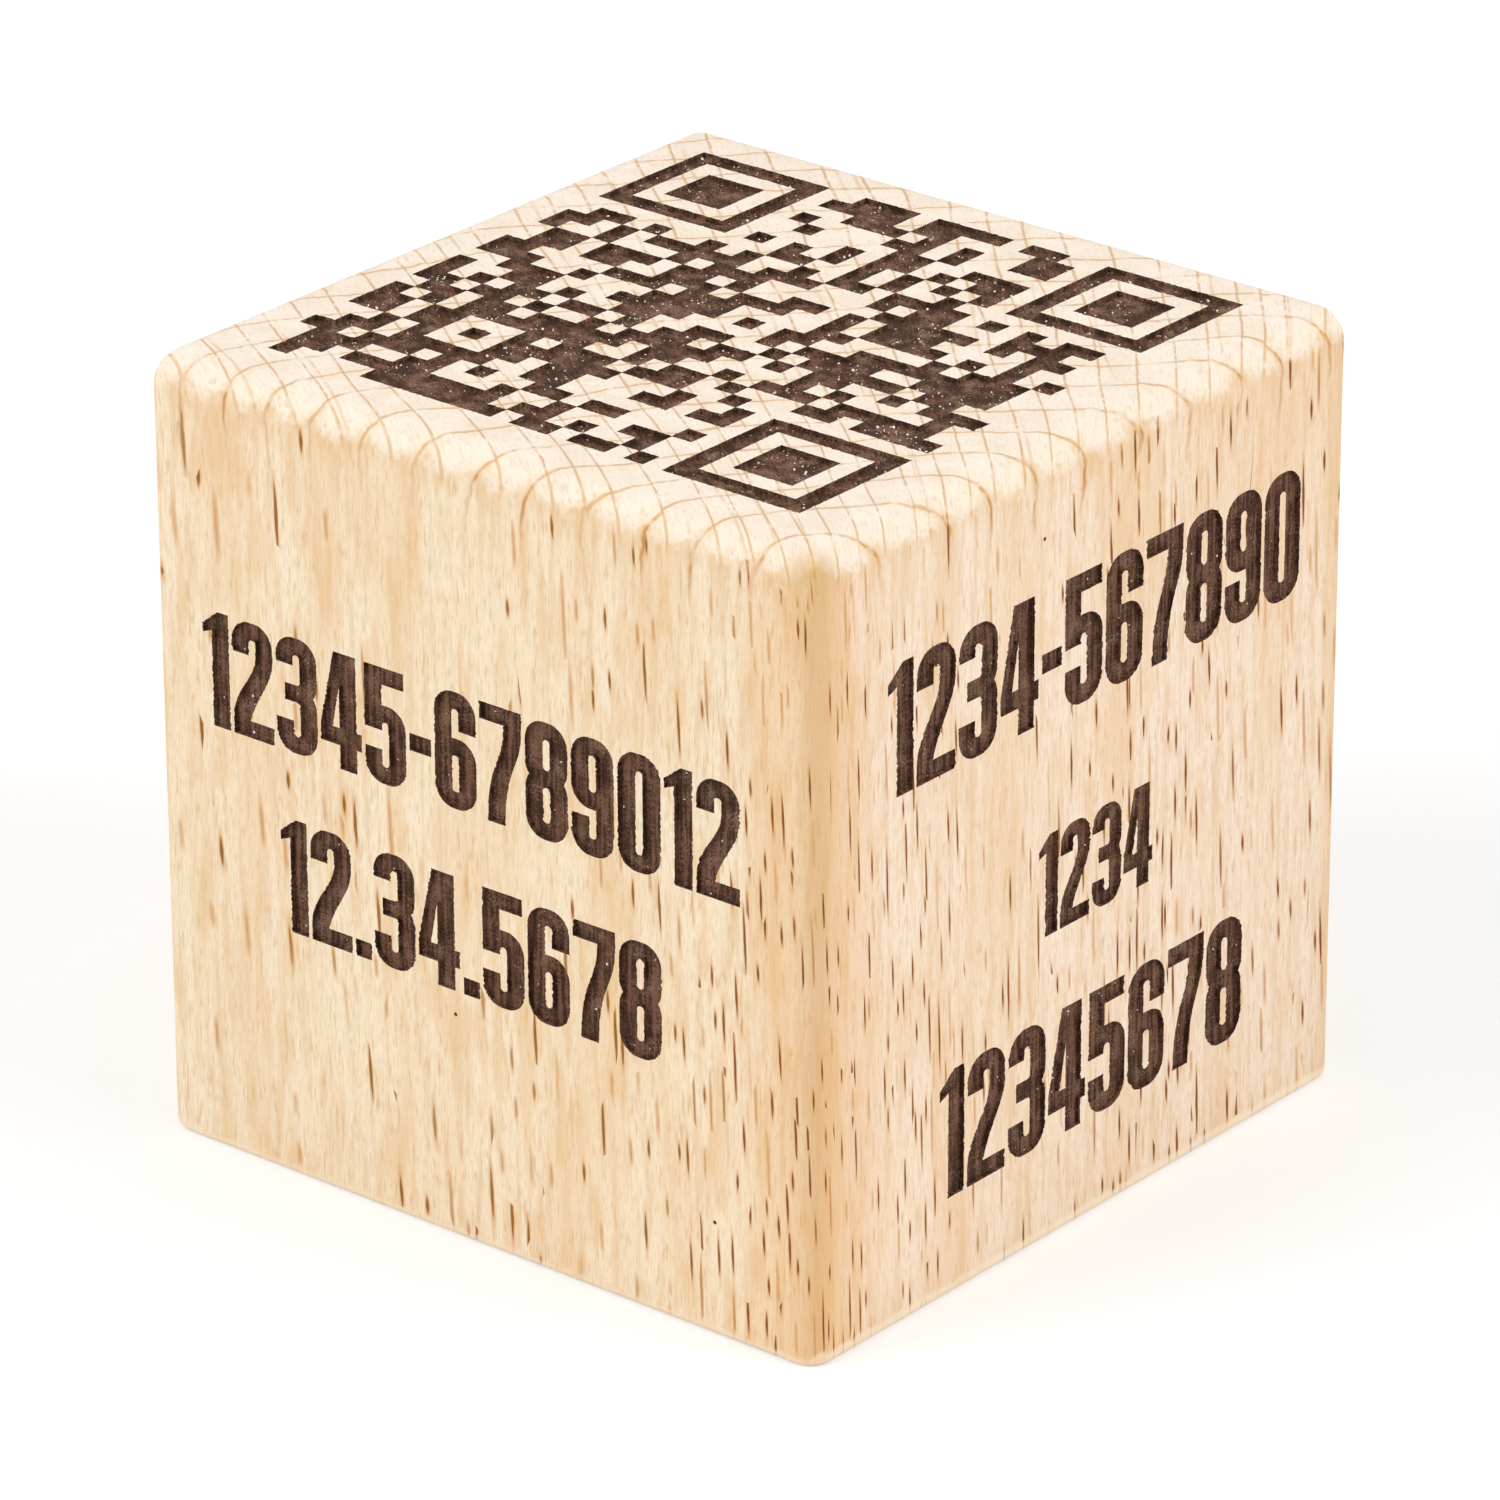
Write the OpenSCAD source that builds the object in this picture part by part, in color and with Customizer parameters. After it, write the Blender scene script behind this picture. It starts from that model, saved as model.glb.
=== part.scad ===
// Wooden cube: one solid beech block with rounded edges, standing on its base with the
// grain upright. A pattern of square cells is engraved in the end grain of the top face.
// Rows of plain numerals are engraved in the front face and in the right-hand face.
// Millimetres. Z is up, the front face looks along -Y and the origin is under the middle.

/* [Block] */
// Edge length of the cube
edge = 50; // [48:1:70]
// Radius of the four edges round the top face
top_round = 2.2; // [1.6:0.1:3.2]
// Radius of the four upright edges
edge_round = 1.6; // [1:0.1:2.4]
// Radius of the four edges round the base
base_round = 0.6; // [0.5:0.1:1.5]

/* [Engraving] */
// Depth of the cell pattern below the top face
pattern_depth = 0.3; // [0.2:0.05:0.9]
// Depth of the numerals below the side faces
numeral_depth = 0.3; // [0.2:0.05:0.9]

/* [Cell pattern] */
// Cells along each side of the pattern
cells = 29; // [21:2:29]
// Pitch of the cells
cell = 1.41; // [1.2:0.01:1.45]
// Overlap of neighbouring cells, which is the width of the burn line
burn = 0.06; // [0.04:0.01:0.12]
// Distance of the pattern's middle from the middle of the top face, to the right
pattern_x = -0.3; // [-1:0.1:1]
// Distance of the pattern's middle from the middle of the top face, to the back
pattern_y = 0.1; // [-1:0.1:1]
// Share of the free cells that are cut, in hundredths
fill = 50; // [30:1:60]
// Start value of the rule that picks the free cells
seed = 5; // [1:1:99]

/* [Front numerals] */
// Upper row on the front face
front_upper = "12345-6789012";
// Lower row on the front face
front_lower = "12.34.5678";
// Height of the numerals on the front face
front_numeral_h = 7.3; // [5:0.1:8]
// Height of the upper row's foot above the base
front_upper_z = 27.6; // [26:0.1:34]
// Height of the lower row's foot above the base
front_lower_z = 16; // [6:0.1:17]
// Distance of the rows' middle from the middle of the front face, to the right
front_rows_x = -0.6; // [-1:0.1:1]

/* [Right-hand numerals] */
// Upper row on the right-hand face
right_upper = "1234-567890";
// Middle row on the right-hand face
right_middle = "1234";
// Lower row on the right-hand face
right_lower = "12345678";
// Height of the numerals in the upper and lower rows on the right-hand face
right_numeral_h = 8.1; // [6:0.1:8.6]
// Height of the numerals in the middle row on the right-hand face
right_middle_h = 6.4; // [5:0.1:8]
// Height of the upper row's foot above the base
right_upper_z = 33.3; // [31:0.1:36]
// Height of the middle row's foot above the base
right_middle_z = 19.7; // [18:0.1:22]
// Height of the lower row's foot above the base
right_lower_z = 6.4; // [4:0.1:8]
// Distance of the rows' middle from the middle of the right-hand face, to the back
right_rows_y = 0.7; // [-1:0.1:1]

/* [Numeral shapes] */
// Height at which the numerals are drawn
numeral_h = 7.3; // [6.5:0.1:9]
// Width of a numeral
numeral_w = 3.15; // [2.9:0.05:3.4]
// Width of the upright strokes
stem = 1.32; // [1:0.02:1.4]
// Height of the level strokes
bar = 1.08; // [0.8:0.02:1.3]
// Radius of the numerals' outer corners
bowl_round = 1.36; // [1:0.02:1.42]
// Free width between the two ends of an open numeral such as 3 or 5
mouth = 1.2; // [0.8:0.05:1.4]
// Width of the numeral 1 over its flag
one_w = 2.05; // [1.8:0.05:2.4]
// Length of the hyphen
dash_w = 1.65; // [1.2:0.05:2]
// Width of the full stop
dot_w = 1.22; // [0.9:0.02:1.4]
// Space between neighbouring numerals
letter_gap = 0.27; // [0.2:0.01:0.35]

/* [Hidden] */
// Steps in the quarter turn of the upright edges, of the top edges and of the base edges
edge_steps = 8;
top_steps = 8;
base_steps = 4;
// Steps in a full turn of the numerals' curves
curve_steps = 20;
// Distance by which a cutter passes the face or the stroke that it cuts
over = 1;
// Corner marks: cells along the outside, along the core and in the small mark
mark = 7;
mark_core = 3;
small_mark = 5;
// Place of the small mark's middle, counted in cells from the left and front sides
small_at = 6;
// Row and column of alternate cells that join the corner marks
link = 6;
// Prime modulus and multipliers of the rule that picks the free cells
prime = 65521;
step_col = 1619;
step_row = 31337;
step_seed = 6971;

// Free width inside a loop of strokes, and the share of it that rounds its ends
slot_w = numeral_w - 2 * stem;
slot_round = 0.46;
// Heights on a numeral: the middle of an 8, the shoulder of a 2, 5 or 6, and the ends of
// the open strokes near the top and near the foot
waist = numeral_h * 0.52;
shoulder = numeral_h * 0.53;
ear = numeral_h * 0.67;
ear_low = numeral_h * 0.295;
// The 1: fall of its flag to the left, and the flag's height
flag_fall = 0.95;
flag_h = 0.6;
// The 4: how far its level stroke passes the post, and that stroke's height
four_overhang = 0.38;
four_foot = 1.5;
// The 5: how far its top stroke ends short of the full width
five_short = 0.12;
// The 7: distance of its foot from the left
seven_foot = 0.55;
// Points along a curved edge
curve_points = 8;
// Overlap of strokes that meet
weld = 0.02;
// Colours of the wood and of the burnt floors
wood = "burlywood";
burnt = "#43322c";

// Point at t on the cubic curve through the control points q
function bezier(q, t) = pow(1 - t, 3) * q[0] + 3 * t * pow(1 - t, 2) * q[1]
    + 3 * t * t * (1 - t) * q[2] + pow(t, 3) * q[3];

// Largest distance of a cell from the middle of a mark, counted in rings
function ring(c, r, mid_c, mid_r) = max(abs(c - mid_c), abs(r - mid_r));

// A mark is rings of cut and standing cells round a solid core
function mark_cut(d, size, core) = d == (size - 1) / 2 || d <= (core - 1) / 2;

// Rule that scatters the free cells: a repeatable hash of column and row
function hash_one(c, r) = (c * step_col + r * step_row + seed * step_seed) % prime;
function hash_two(h) = (h * h + h * step_col + seed) % prime;
function free_cut(c, r) = hash_two(hash_two(hash_one(c, r))) % 100 < fill;

// True where the cell in column c and row r is cut, with row 0 along the front
function is_cut(c, r) =
    let (last = cells - 1,
         half = (mark - 1) / 2,
         back_left = ring(c, r, half, last - half),
         back_right = ring(c, r, last - half, last - half),
         front_right = ring(c, r, last - half, half),
         near = min(back_left, back_right, front_right),
         small = ring(c, r, small_at, small_at))
    c < 0 || c > last || r < 0 || r > last ? false
    : near <= half ? mark_cut(near, mark, mark_core)
    : near == half + 1 ? false
    : small <= (small_mark - 1) / 2 ? mark_cut(small, small_mark, 1)
    : r == last - link ? c % 2 == 0
    : c == last - link ? r % 2 == 0
    : free_cut(c, r);

// Number of cut cells that follow in a row, from column c on
function run_length(c, r) = is_cut(c, r) ? 1 + run_length(c + 1, r) : 0;

// Width of one character, and of the first n characters of a row with their gaps
function char_w(ch) = ch == "1" ? one_w : ch == "-" ? dash_w : ch == "." ? dot_w : numeral_w;
function row_w(row, n) = n == 0 ? 0 : row_w(row, n - 1) + char_w(row[n - 1]) + letter_gap;

// Radius of the corners of the block's outline where it is set in by a rounding of radius r
function corner_round(inset, r) = edge_round * (1 - inset / max(edge_round, r));

// Points of the block's outline at height z, set in by a rounding of radius r
function outline(z, inset, r) =
    [for (quarter = [0:3], i = [0:edge_steps])
        let (corner = corner_round(inset, r),
             middle = edge / 2 - inset - corner,
             to = [[1, 1], [-1, 1], [-1, -1], [1, -1]][quarter] * middle,
             turn = 90 * (quarter + i / edge_steps))
        [to.x + corner * cos(turn), to.y + corner * sin(turn), z]];

// Points of the block from the base up, one outline for each level
function block_points() = concat(
    [for (i = [0:base_steps])
        let (turn = 90 * i / base_steps)
        each outline(base_round * (1 - cos(turn)), base_round * (1 - sin(turn)), base_round)],
    [for (i = [0:top_steps])
        let (turn = 90 * i / top_steps)
        each outline(edge - top_round * (1 - sin(turn)), top_round * (1 - cos(turn)), top_round)]);

// Solid block: the hull of its outlines, whose corners grow sharper along each rounding
module block() {
    points = block_points();
    around = 4 * (edge_steps + 1);
    hull()
        polyhedron(points, [for (level = [0:len(points) / around - 1])
            [for (i = [0:around - 1]) level * around + i]]);
}

// Outline of the cell pattern, one strip for each run of cut cells
module cell_pattern() {
    start = -cells * cell / 2;
    for (r = [0:cells - 1], c = [0:cells - 1])
        if (is_cut(c, r) && !is_cut(c - 1, r))
            translate([start + c * cell - burn / 2, start + r * cell - burn / 2])
                square([run_length(c, r) * cell + burn, cell + burn]);
}

// Rounded rectangle with its lower left corner at [x, y]
module slab(x, y, w, h, r) {
    translate([x + r, y])
        square([w - 2 * r, h]);
    translate([x, y + r])
        square([w, h - 2 * r]);
    for (dx = [r, w - r], dy = [r, h - r])
        translate([x + dx, y + dy])
            circle(r, $fn = curve_steps);
}

// Plain rectangle from x0 to x1, between two heights
module plate(x0, x1, low, high) {
    translate([x0, low])
        square([x1 - x0, high - low]);
}

// Narrow slot inside a loop of strokes
module slot(low, high) {
    slab(stem, low + bar, slot_w, high - low - 2 * bar, slot_w * slot_round);
}

// Closed loop of strokes between two heights
module bowl(low, high) {
    difference() {
        slab(0, low, numeral_w, high - low, bowl_round);
        slot(low, high);
    }
}

// Two loops, one on the other
module double_bowl() {
    bowl(0, waist + bar / 2);
    bowl(waist - bar / 2, numeral_h);
}

// Stroke between a curved left edge and a curved right edge
module curved_stroke(left, right) {
    steps = [0:curve_points];
    polygon(concat(
        [for (i = steps) bezier(left, i / curve_points)],
        [for (i = steps) bezier(right, 1 - i / curve_points)]));
}

module zero() {
    bowl(0, numeral_h);
}

module one() {
    side = one_w - stem;
    polygon([[side, 0], [one_w, 0], [one_w, numeral_h], [side + flag_fall / 2, numeral_h],
        [0, numeral_h - flag_fall], [0, numeral_h - flag_fall - flag_h],
        [side, numeral_h - flag_fall - flag_h / 2]]);
}

module two() {
    difference() {
        slab(0, shoulder, numeral_w, numeral_h - shoulder, bowl_round);
        slot(shoulder - 2 * bar, numeral_h);
        plate(-over, stem + slot_w, shoulder - over, ear);
        plate(-over, numeral_w + over, shoulder - over, shoulder + bowl_round);
    }
    top = shoulder + bowl_round + weld;
    curved_stroke(
        [[numeral_w - stem, top], [numeral_w - stem, shoulder], [0, shoulder - bar], [0, bar - weld]],
        [[numeral_w, top], [numeral_w, shoulder], [stem + slot_w, shoulder - bar], [stem, bar - weld]]);
    plate(0, numeral_w, 0, bar);
}

module three() {
    difference() {
        double_bowl();
        difference() {
            plate(-over, stem + slot_w / 2, waist - bar / 2 - mouth, waist + bar / 2 + mouth);
            plate(stem / 2, numeral_w, waist - bar / 2, waist + bar / 2);
        }
    }
}

module four() {
    post = numeral_w - four_overhang - stem;
    difference() {
        polygon([[post, 0], [post + stem, 0], [post + stem, numeral_h], [stem - slot_w / 2, numeral_h],
            [0, four_foot + bar], [0, four_foot], [post, four_foot]]);
        polygon([[post, four_foot + bar], [post, numeral_h - 2 * bar],
            [post - slot_w, four_foot + bar]]);
    }
    plate(post, numeral_w, four_foot, four_foot + bar);
}

module five() {
    difference() {
        union() {
            bowl(0, shoulder + bar);
            plate(0, stem, ear_low + mouth, numeral_h);
        }
        plate(-over, stem + slot_w / 2, ear_low, ear_low + mouth);
    }
    plate(0, numeral_w - five_short, numeral_h - bar, numeral_h);
}

module six() {
    bowl(0, shoulder + bar / 2);
    difference() {
        bowl(0, numeral_h);
        plate(stem + slot_w / 2, numeral_w + over, bar, ear);
    }
}

module seven() {
    plate(0, numeral_w, numeral_h - bar, numeral_h);
    top = numeral_h - bar + weld;
    curved_stroke(
        [[numeral_w - stem, top], [numeral_w - stem, shoulder], [seven_foot, waist], [seven_foot, 0]],
        [[numeral_w, top], [numeral_w, shoulder], [seven_foot + stem, waist], [seven_foot + stem, 0]]);
}

module nine() {
    translate([numeral_w, numeral_h])
        rotate(180)
            six();
}

// One character of a row
module character(ch) {
    if (ch == "0") zero();
    if (ch == "1") one();
    if (ch == "2") two();
    if (ch == "3") three();
    if (ch == "4") four();
    if (ch == "5") five();
    if (ch == "6") six();
    if (ch == "7") seven();
    if (ch == "8") double_bowl();
    if (ch == "9") nine();
    if (ch == ".") plate(0, dot_w, 0, bar);
    if (ch == "-") plate(0, dash_w, waist - bar, waist);
}

// A row of characters, drawn about its middle and scaled to its height
module row_outline(row, h) {
    wide = row_w(row, len(row)) - letter_gap;
    scale(h / numeral_h)
        for (i = [0:len(row) - 1])
            translate([row_w(row, i) - wide / 2, 0])
                character(row[i]);
}

module front_row(row, h, z) {
    translate([front_rows_x, numeral_depth - edge / 2, z])
        rotate([90, 0, 0])
            linear_extrude(numeral_depth + over)
                row_outline(row, h);
}

module right_row(row, h, z) {
    translate([edge / 2 - numeral_depth, right_rows_y, z])
        rotate([90, 0, 90])
            linear_extrude(numeral_depth + over)
                row_outline(row, h);
}

// Everything that is engraved: the cell pattern and the rows of numerals
module engraving() {
    translate([pattern_x, pattern_y, edge - pattern_depth])
        linear_extrude(pattern_depth + over)
            cell_pattern();
    front_row(front_upper, front_numeral_h, front_upper_z);
    front_row(front_lower, front_numeral_h, front_lower_z);
    right_row(right_upper, right_numeral_h, right_upper_z);
    right_row(right_middle, right_middle_h, right_middle_z);
    right_row(right_lower, right_numeral_h, right_lower_z);
}

module wooden_cube() {
    difference() {
        color(wood)
            block();
        color(burnt)
            engraving();
    }
}

wooden_cube();
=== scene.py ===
"""Wooden cube: a solid beech block, end grain up, with a pattern of square cells engraved in its
top face and rows of numerals engraved in its front and right-hand faces.

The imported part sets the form. The block is drawn over it again with smooth rounded edges, ragged
engraved outlines, rough burnt floors and pale unburnt chips, and it is dressed in a solid grain of
growth rings, rays and fibres that runs through the whole block.
"""

from __future__ import annotations

import logging
import math
from collections import defaultdict
from collections.abc import Iterable, Sequence
from dataclasses import dataclass, field
from enum import Enum

import bmesh
import bpy
from mathutils import Matrix, Vector
from mathutils.geometry import delaunay_2d_cdt
from mathutils.kdtree import KDTree


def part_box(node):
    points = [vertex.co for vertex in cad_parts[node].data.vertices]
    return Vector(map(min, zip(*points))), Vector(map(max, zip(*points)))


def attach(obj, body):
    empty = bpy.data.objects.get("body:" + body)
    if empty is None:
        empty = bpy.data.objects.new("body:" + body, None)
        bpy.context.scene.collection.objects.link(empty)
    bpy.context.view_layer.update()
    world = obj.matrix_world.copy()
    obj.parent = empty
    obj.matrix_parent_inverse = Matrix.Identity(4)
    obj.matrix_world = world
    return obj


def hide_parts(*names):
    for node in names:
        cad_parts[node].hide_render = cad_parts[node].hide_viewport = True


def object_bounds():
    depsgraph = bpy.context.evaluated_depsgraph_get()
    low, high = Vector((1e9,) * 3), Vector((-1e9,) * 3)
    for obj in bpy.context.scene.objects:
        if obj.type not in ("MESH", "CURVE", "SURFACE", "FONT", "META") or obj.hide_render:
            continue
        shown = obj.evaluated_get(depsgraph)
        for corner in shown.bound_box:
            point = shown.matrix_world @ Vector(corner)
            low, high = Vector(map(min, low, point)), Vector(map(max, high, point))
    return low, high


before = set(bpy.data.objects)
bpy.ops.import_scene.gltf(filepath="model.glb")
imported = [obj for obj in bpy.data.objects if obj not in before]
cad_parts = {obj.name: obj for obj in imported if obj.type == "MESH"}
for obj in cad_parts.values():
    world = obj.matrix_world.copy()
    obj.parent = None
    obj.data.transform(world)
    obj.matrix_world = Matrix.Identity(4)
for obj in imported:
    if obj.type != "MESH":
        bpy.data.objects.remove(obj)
cad_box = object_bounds()

log = logging.getLogger("wooden_cube")

MM = 0.001
NODE = "wooden_cube"
PHOTO_SIDE_PX = 1500
SENSOR_MM = 36.0
WELD = 0.002 * MM
TOUCH = 0.001 * MM

Point = tuple[float, float]
Colour = tuple[float, float, float, float]


def colour(code: str) -> Colour:
    """Turns a screen colour into the linear colour that a shader takes.

    Args:
        code: the colour as it looks on screen, such as "#f3dcb4".

    Returns:
        The linear red, green and blue, with a full alpha.
    """
    parts = [int(code[i:i + 2], 16) / 255 for i in (1, 3, 5)]
    linear = [p / 12.92 if p <= 0.04045 else ((p + 0.055) / 1.055) ** 2.4 for p in parts]
    return (linear[0], linear[1], linear[2], 1.0)


class Field:
    """A value on a node socket, whose operators add Math nodes to its tree."""

    def __init__(self, tree: Tree, socket: bpy.types.NodeSocket) -> None:
        """Wraps a socket of a tree."""
        self.tree = tree
        self.socket = socket

    def math(self, operation: str, *others: Value) -> Field:
        """Adds one Math node with this value in its first socket.

        Args:
            operation: the node's operation, such as "ADD".
            others: what goes into its other sockets.

        Returns:
            The node's result.
        """
        return self.tree.math(operation, self, *others)

    def __add__(self, other: Value) -> Field:
        """Sum of two values."""
        return self.math("ADD", other)

    def __radd__(self, other: Value) -> Field:
        """Sum with this value on the right."""
        return self.math("ADD", other)

    def __sub__(self, other: Value) -> Field:
        """Difference of two values."""
        return self.math("SUBTRACT", other)

    def __rsub__(self, other: Value) -> Field:
        """Difference with this value on the right."""
        return self.tree.math("SUBTRACT", other, self)

    def __mul__(self, other: Value) -> Field:
        """Product of two values."""
        return self.math("MULTIPLY", other)

    def __rmul__(self, other: Value) -> Field:
        """Product with this value on the right."""
        return self.math("MULTIPLY", other)

    def __truediv__(self, other: Value) -> Field:
        """Quotient of two values."""
        return self.math("DIVIDE", other)

    def __rtruediv__(self, other: Value) -> Field:
        """Quotient with this value on the right."""
        return self.tree.math("DIVIDE", other, self)

    def __pow__(self, other: Value) -> Field:
        """Power of this value."""
        return self.math("POWER", other)

    def __abs__(self) -> Field:
        """Size of this value without its sign."""
        return self.math("ABSOLUTE")

    def most(self, other: Value) -> Field:
        """Larger of two values."""
        return self.math("MAXIMUM", other)

    def part(self) -> Field:
        """What is left of this value above the next lower whole number."""
        return self.math("FRACT")

    def rise(self, low: Value, high: Value) -> Field:
        """Smooth step of this value.

        Args:
            low: value at which the step is still 0.
            high: value at which it has come to 1.

        Returns:
            The step, from 0 to 1.
        """
        settings = {"interpolation_type": "SMOOTHSTEP"}
        sockets = {"Value": self, "From Min": low, "From Max": high}
        return self.tree.field("ShaderNodeMapRange", "Result", settings, sockets)

    def fall(self, low: Value, high: Value) -> Field:
        """Smooth step down, from 1 at low to 0 at high."""
        return 1 - self.rise(low, high)


Value = Field | bpy.types.NodeSocket | float


class Tree:
    """Adds nodes and links to one shader tree or Geometry Nodes tree.

    A Mix node has sockets for numbers and vectors too, so those of its colours go by number.
    """

    MIX_FACTOR = 0
    MIX_A = 6
    MIX_B = 7
    MIX_RESULT = 2

    def __init__(self, tree: bpy.types.NodeTree) -> None:
        """Empties the tree and takes it over."""
        tree.nodes.clear()
        self.tree = tree

    def node(self, kind: str, settings: dict[str, object] | None = None,
             sockets: dict[str | int, object] | None = None) -> bpy.types.Node:
        """Adds one node.

        Args:
            kind: the node's type name.
            settings: its properties, which are set before its sockets.
            sockets: values or links for its input sockets, by name or by number.

        Returns:
            The new node.
        """
        made = self.tree.nodes.new(kind)
        for name, value in (settings or {}).items():
            setattr(made, name, value)
        for key, value in (sockets or {}).items():
            self.feed(made.inputs[key], value)
        return made

    def feed(self, socket: bpy.types.NodeSocket, value: object) -> None:
        """Links a field or a socket into an input socket, or sets its value.

        Args:
            socket: the input socket.
            value: a field, an output socket or a plain value.
        """
        if isinstance(value, Field):
            value = value.socket
        if isinstance(value, bpy.types.NodeSocket):
            self.tree.links.new(value, socket)
        else:
            socket.default_value = value

    def field(self, kind: str, output: str | int, settings: dict[str, object] | None = None,
              sockets: dict[str | int, object] | None = None) -> Field:
        """Adds one node and wraps one of its outputs.

        Args:
            kind: the node's type name.
            output: name or number of the output.
            settings: the node's properties.
            sockets: values or links for its input sockets.

        Returns:
            The output as a field.
        """
        return Field(self, self.node(kind, settings, sockets).outputs[output])

    def math(self, operation: str, *values: Value) -> Field:
        """Adds one Math node.

        Args:
            operation: the node's operation.
            values: what goes into its sockets, in order.

        Returns:
            The node's result.
        """
        return self.field("ShaderNodeMath", 0, {"operation": operation}, dict(enumerate(values)))

    def vector_math(self, operation: str, *values: object) -> bpy.types.NodeSocket:
        """Adds one Vector Math node.

        Args:
            operation: the node's operation.
            values: what goes into its vector sockets, in order.

        Returns:
            The vector that comes out.
        """
        sockets = dict(enumerate(values))
        return self.node("ShaderNodeVectorMath", {"operation": operation}, sockets).outputs[0]

    def scaled(self, vector: object, factor: Value) -> bpy.types.NodeSocket:
        """Multiplies a vector by one value.

        Args:
            vector: the vector.
            factor: what it is multiplied by.

        Returns:
            The longer or shorter vector.
        """
        sockets = {0: vector, "Scale": factor}
        return self.node("ShaderNodeVectorMath", {"operation": "SCALE"}, sockets).outputs[0]

    def vector(self, x: Value, y: Value, z: Value) -> bpy.types.NodeSocket:
        """Joins three values to a vector.

        Args:
            x: the first part.
            y: the second part.
            z: the third part.

        Returns:
            The vector.
        """
        return self.node("ShaderNodeCombineXYZ", None, {0: x, 1: y, 2: z}).outputs[0]

    def axes(self, vector: object) -> tuple[Field, Field, Field]:
        """Splits a vector into its three parts."""
        x, y, z = self.node("ShaderNodeSeparateXYZ", None, {0: vector}).outputs
        return Field(self, x), Field(self, y), Field(self, z)

    def mix(self, factor: Value, first: object, second: object) -> bpy.types.NodeSocket:
        """Mixes two colours.

        Args:
            factor: share of the second colour.
            first: the colour underneath.
            second: the colour on it.

        Returns:
            The mixed colour.
        """
        settings = {"data_type": "RGBA", "blend_type": "MIX", "clamp_factor": True}
        sockets = {self.MIX_FACTOR: factor, self.MIX_A: first, self.MIX_B: second}
        return self.node("ShaderNodeMix", settings, sockets).outputs[self.MIX_RESULT]

    def noise(self, vector: object, detail: float = 2.0, roughness: float = 0.5) -> Field:
        """Adds a Noise Texture whose features are about one unit across.

        Args:
            vector: where the noise is read.
            detail: number of finer layers.
            roughness: strength of the finer layers.

        Returns:
            The noise, mostly from 0.3 to 0.7.
        """
        sockets = {"Vector": vector, "Scale": 1.0, "Detail": detail, "Roughness": roughness}
        return self.field("ShaderNodeTexNoise", 0, {"noise_dimensions": "3D"}, sockets)


class Side(Enum):
    """An engraved face of the block: its outward direction, and the two that its drawing runs in."""

    TOP = (Vector((0, 0, 1)), Vector((1, 0, 0)), Vector((0, 1, 0)))
    FRONT = (Vector((0, -1, 0)), Vector((1, 0, 0)), Vector((0, 0, 1)))
    RIGHT = (Vector((1, 0, 0)), Vector((0, 1, 0)), Vector((0, 0, 1)))

    @property
    def out(self) -> Vector:
        """Outward direction of the face."""
        return self.value[0]

    def flat(self, point: Vector) -> Point:
        """Place of a point in the face's own drawing."""
        return (point.dot(self.value[1]), point.dot(self.value[2]))

    def solid(self, place: Point, level: float) -> Vector:
        """Turns a place in the drawing into a point.

        Args:
            place: where it lies in the drawing.
            level: its distance from the origin along the outward direction.

        Returns:
            The point.
        """
        return self.out * level + self.value[1] * place[0] + self.value[2] * place[1]


@dataclass(frozen=True)
class Ramp:
    """A smooth step over the values of a field, from low to high, that comes to a given share."""

    low: float
    high: float
    share: float = 1.0

    def up(self, value: Field) -> Field:
        """The share where the value is high, and nothing where it is low."""
        return value.rise(self.low, self.high) * self.share

    def down(self, value: Field) -> Field:
        """The share where the value is low, and nothing where it is high."""
        return value.fall(self.low, self.high) * self.share


@dataclass(frozen=True)
class Blend:
    """A number that is one thing where a mask is 0 and another where it is 1."""

    without: float
    within: float

    def at(self, mask: Field) -> Field:
        """The number at a point."""
        return mask * (self.within - self.without) + self.without


@dataclass(frozen=True)
class Spot:
    """A shaded point of the block, and where it lies on the block and in the grain.

    Lengths are in millimetres. reach is the distance from the pith and across the way round it.
    drop is the depth below the top face, aside the distance from the nearest upright edge and near
    that from the edge between the two engraved sides. right and front are 1 on those faces and 0
    elsewhere.
    """

    tree: Tree
    place: bpy.types.NodeSocket
    x: Field
    y: Field
    z: Field
    reach: Field
    across: Field
    drop: Field
    aside: Field
    near: Field
    right: Field
    front: Field

    def noise(self, plan: float, rise: float, detail: float = 1.0) -> Field:
        """Reads a noise at this point that is stretched upright.

        Args:
            plan: features per millimetre across the fibres.
            rise: features per millimetre along them.
            detail: number of finer layers.

        Returns:
            The noise.
        """
        return self.tree.noise(self.tree.vector(self.x * plan, self.y * plan, self.z * rise), detail)

    def streaks(self, plan: float, along: float, detail: float = 1.0) -> Field:
        """Reads a noise at this point that is stretched along the rays.

        Args:
            plan: features per millimetre across the rays.
            along: features per millimetre along them.
            detail: number of finer layers.

        Returns:
            The noise.
        """
        vector = self.tree.vector(self.reach * along, self.across * plan, self.z)
        return self.tree.noise(vector, detail)

    def even(self, scale: float, detail: float = 1.0) -> Field:
        """Reads a noise at this point that is the same in all directions.

        Args:
            scale: features per millimetre.
            detail: number of finer layers.

        Returns:
            The noise.
        """
        return self.tree.noise(self.tree.scaled(self.place, scale), detail)

    def dab(self, at: Sequence[float], size: float) -> Field:
        """Soft round spot.

        Args:
            at: its middle.
            size: its radius.

        Returns:
            The spot's strength, from 0 outside to 1 in its middle.
        """
        sockets = {0: self.place, 1: tuple(at)}
        node = self.tree.node("ShaderNodeVectorMath", {"operation": "DISTANCE"}, sockets)
        return Field(self.tree, node.outputs["Value"]).fall(0.0, size)


@dataclass(frozen=True)
class Rings:
    """What the growth rings show at a point, from 0 to 1.

    line is the thin line between two rings, late the soft darkening towards it from both sides and
    broad the lines of the broad rays, which cut the rings into sections.
    """

    line: Field
    late: Field
    broad: Field


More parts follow.
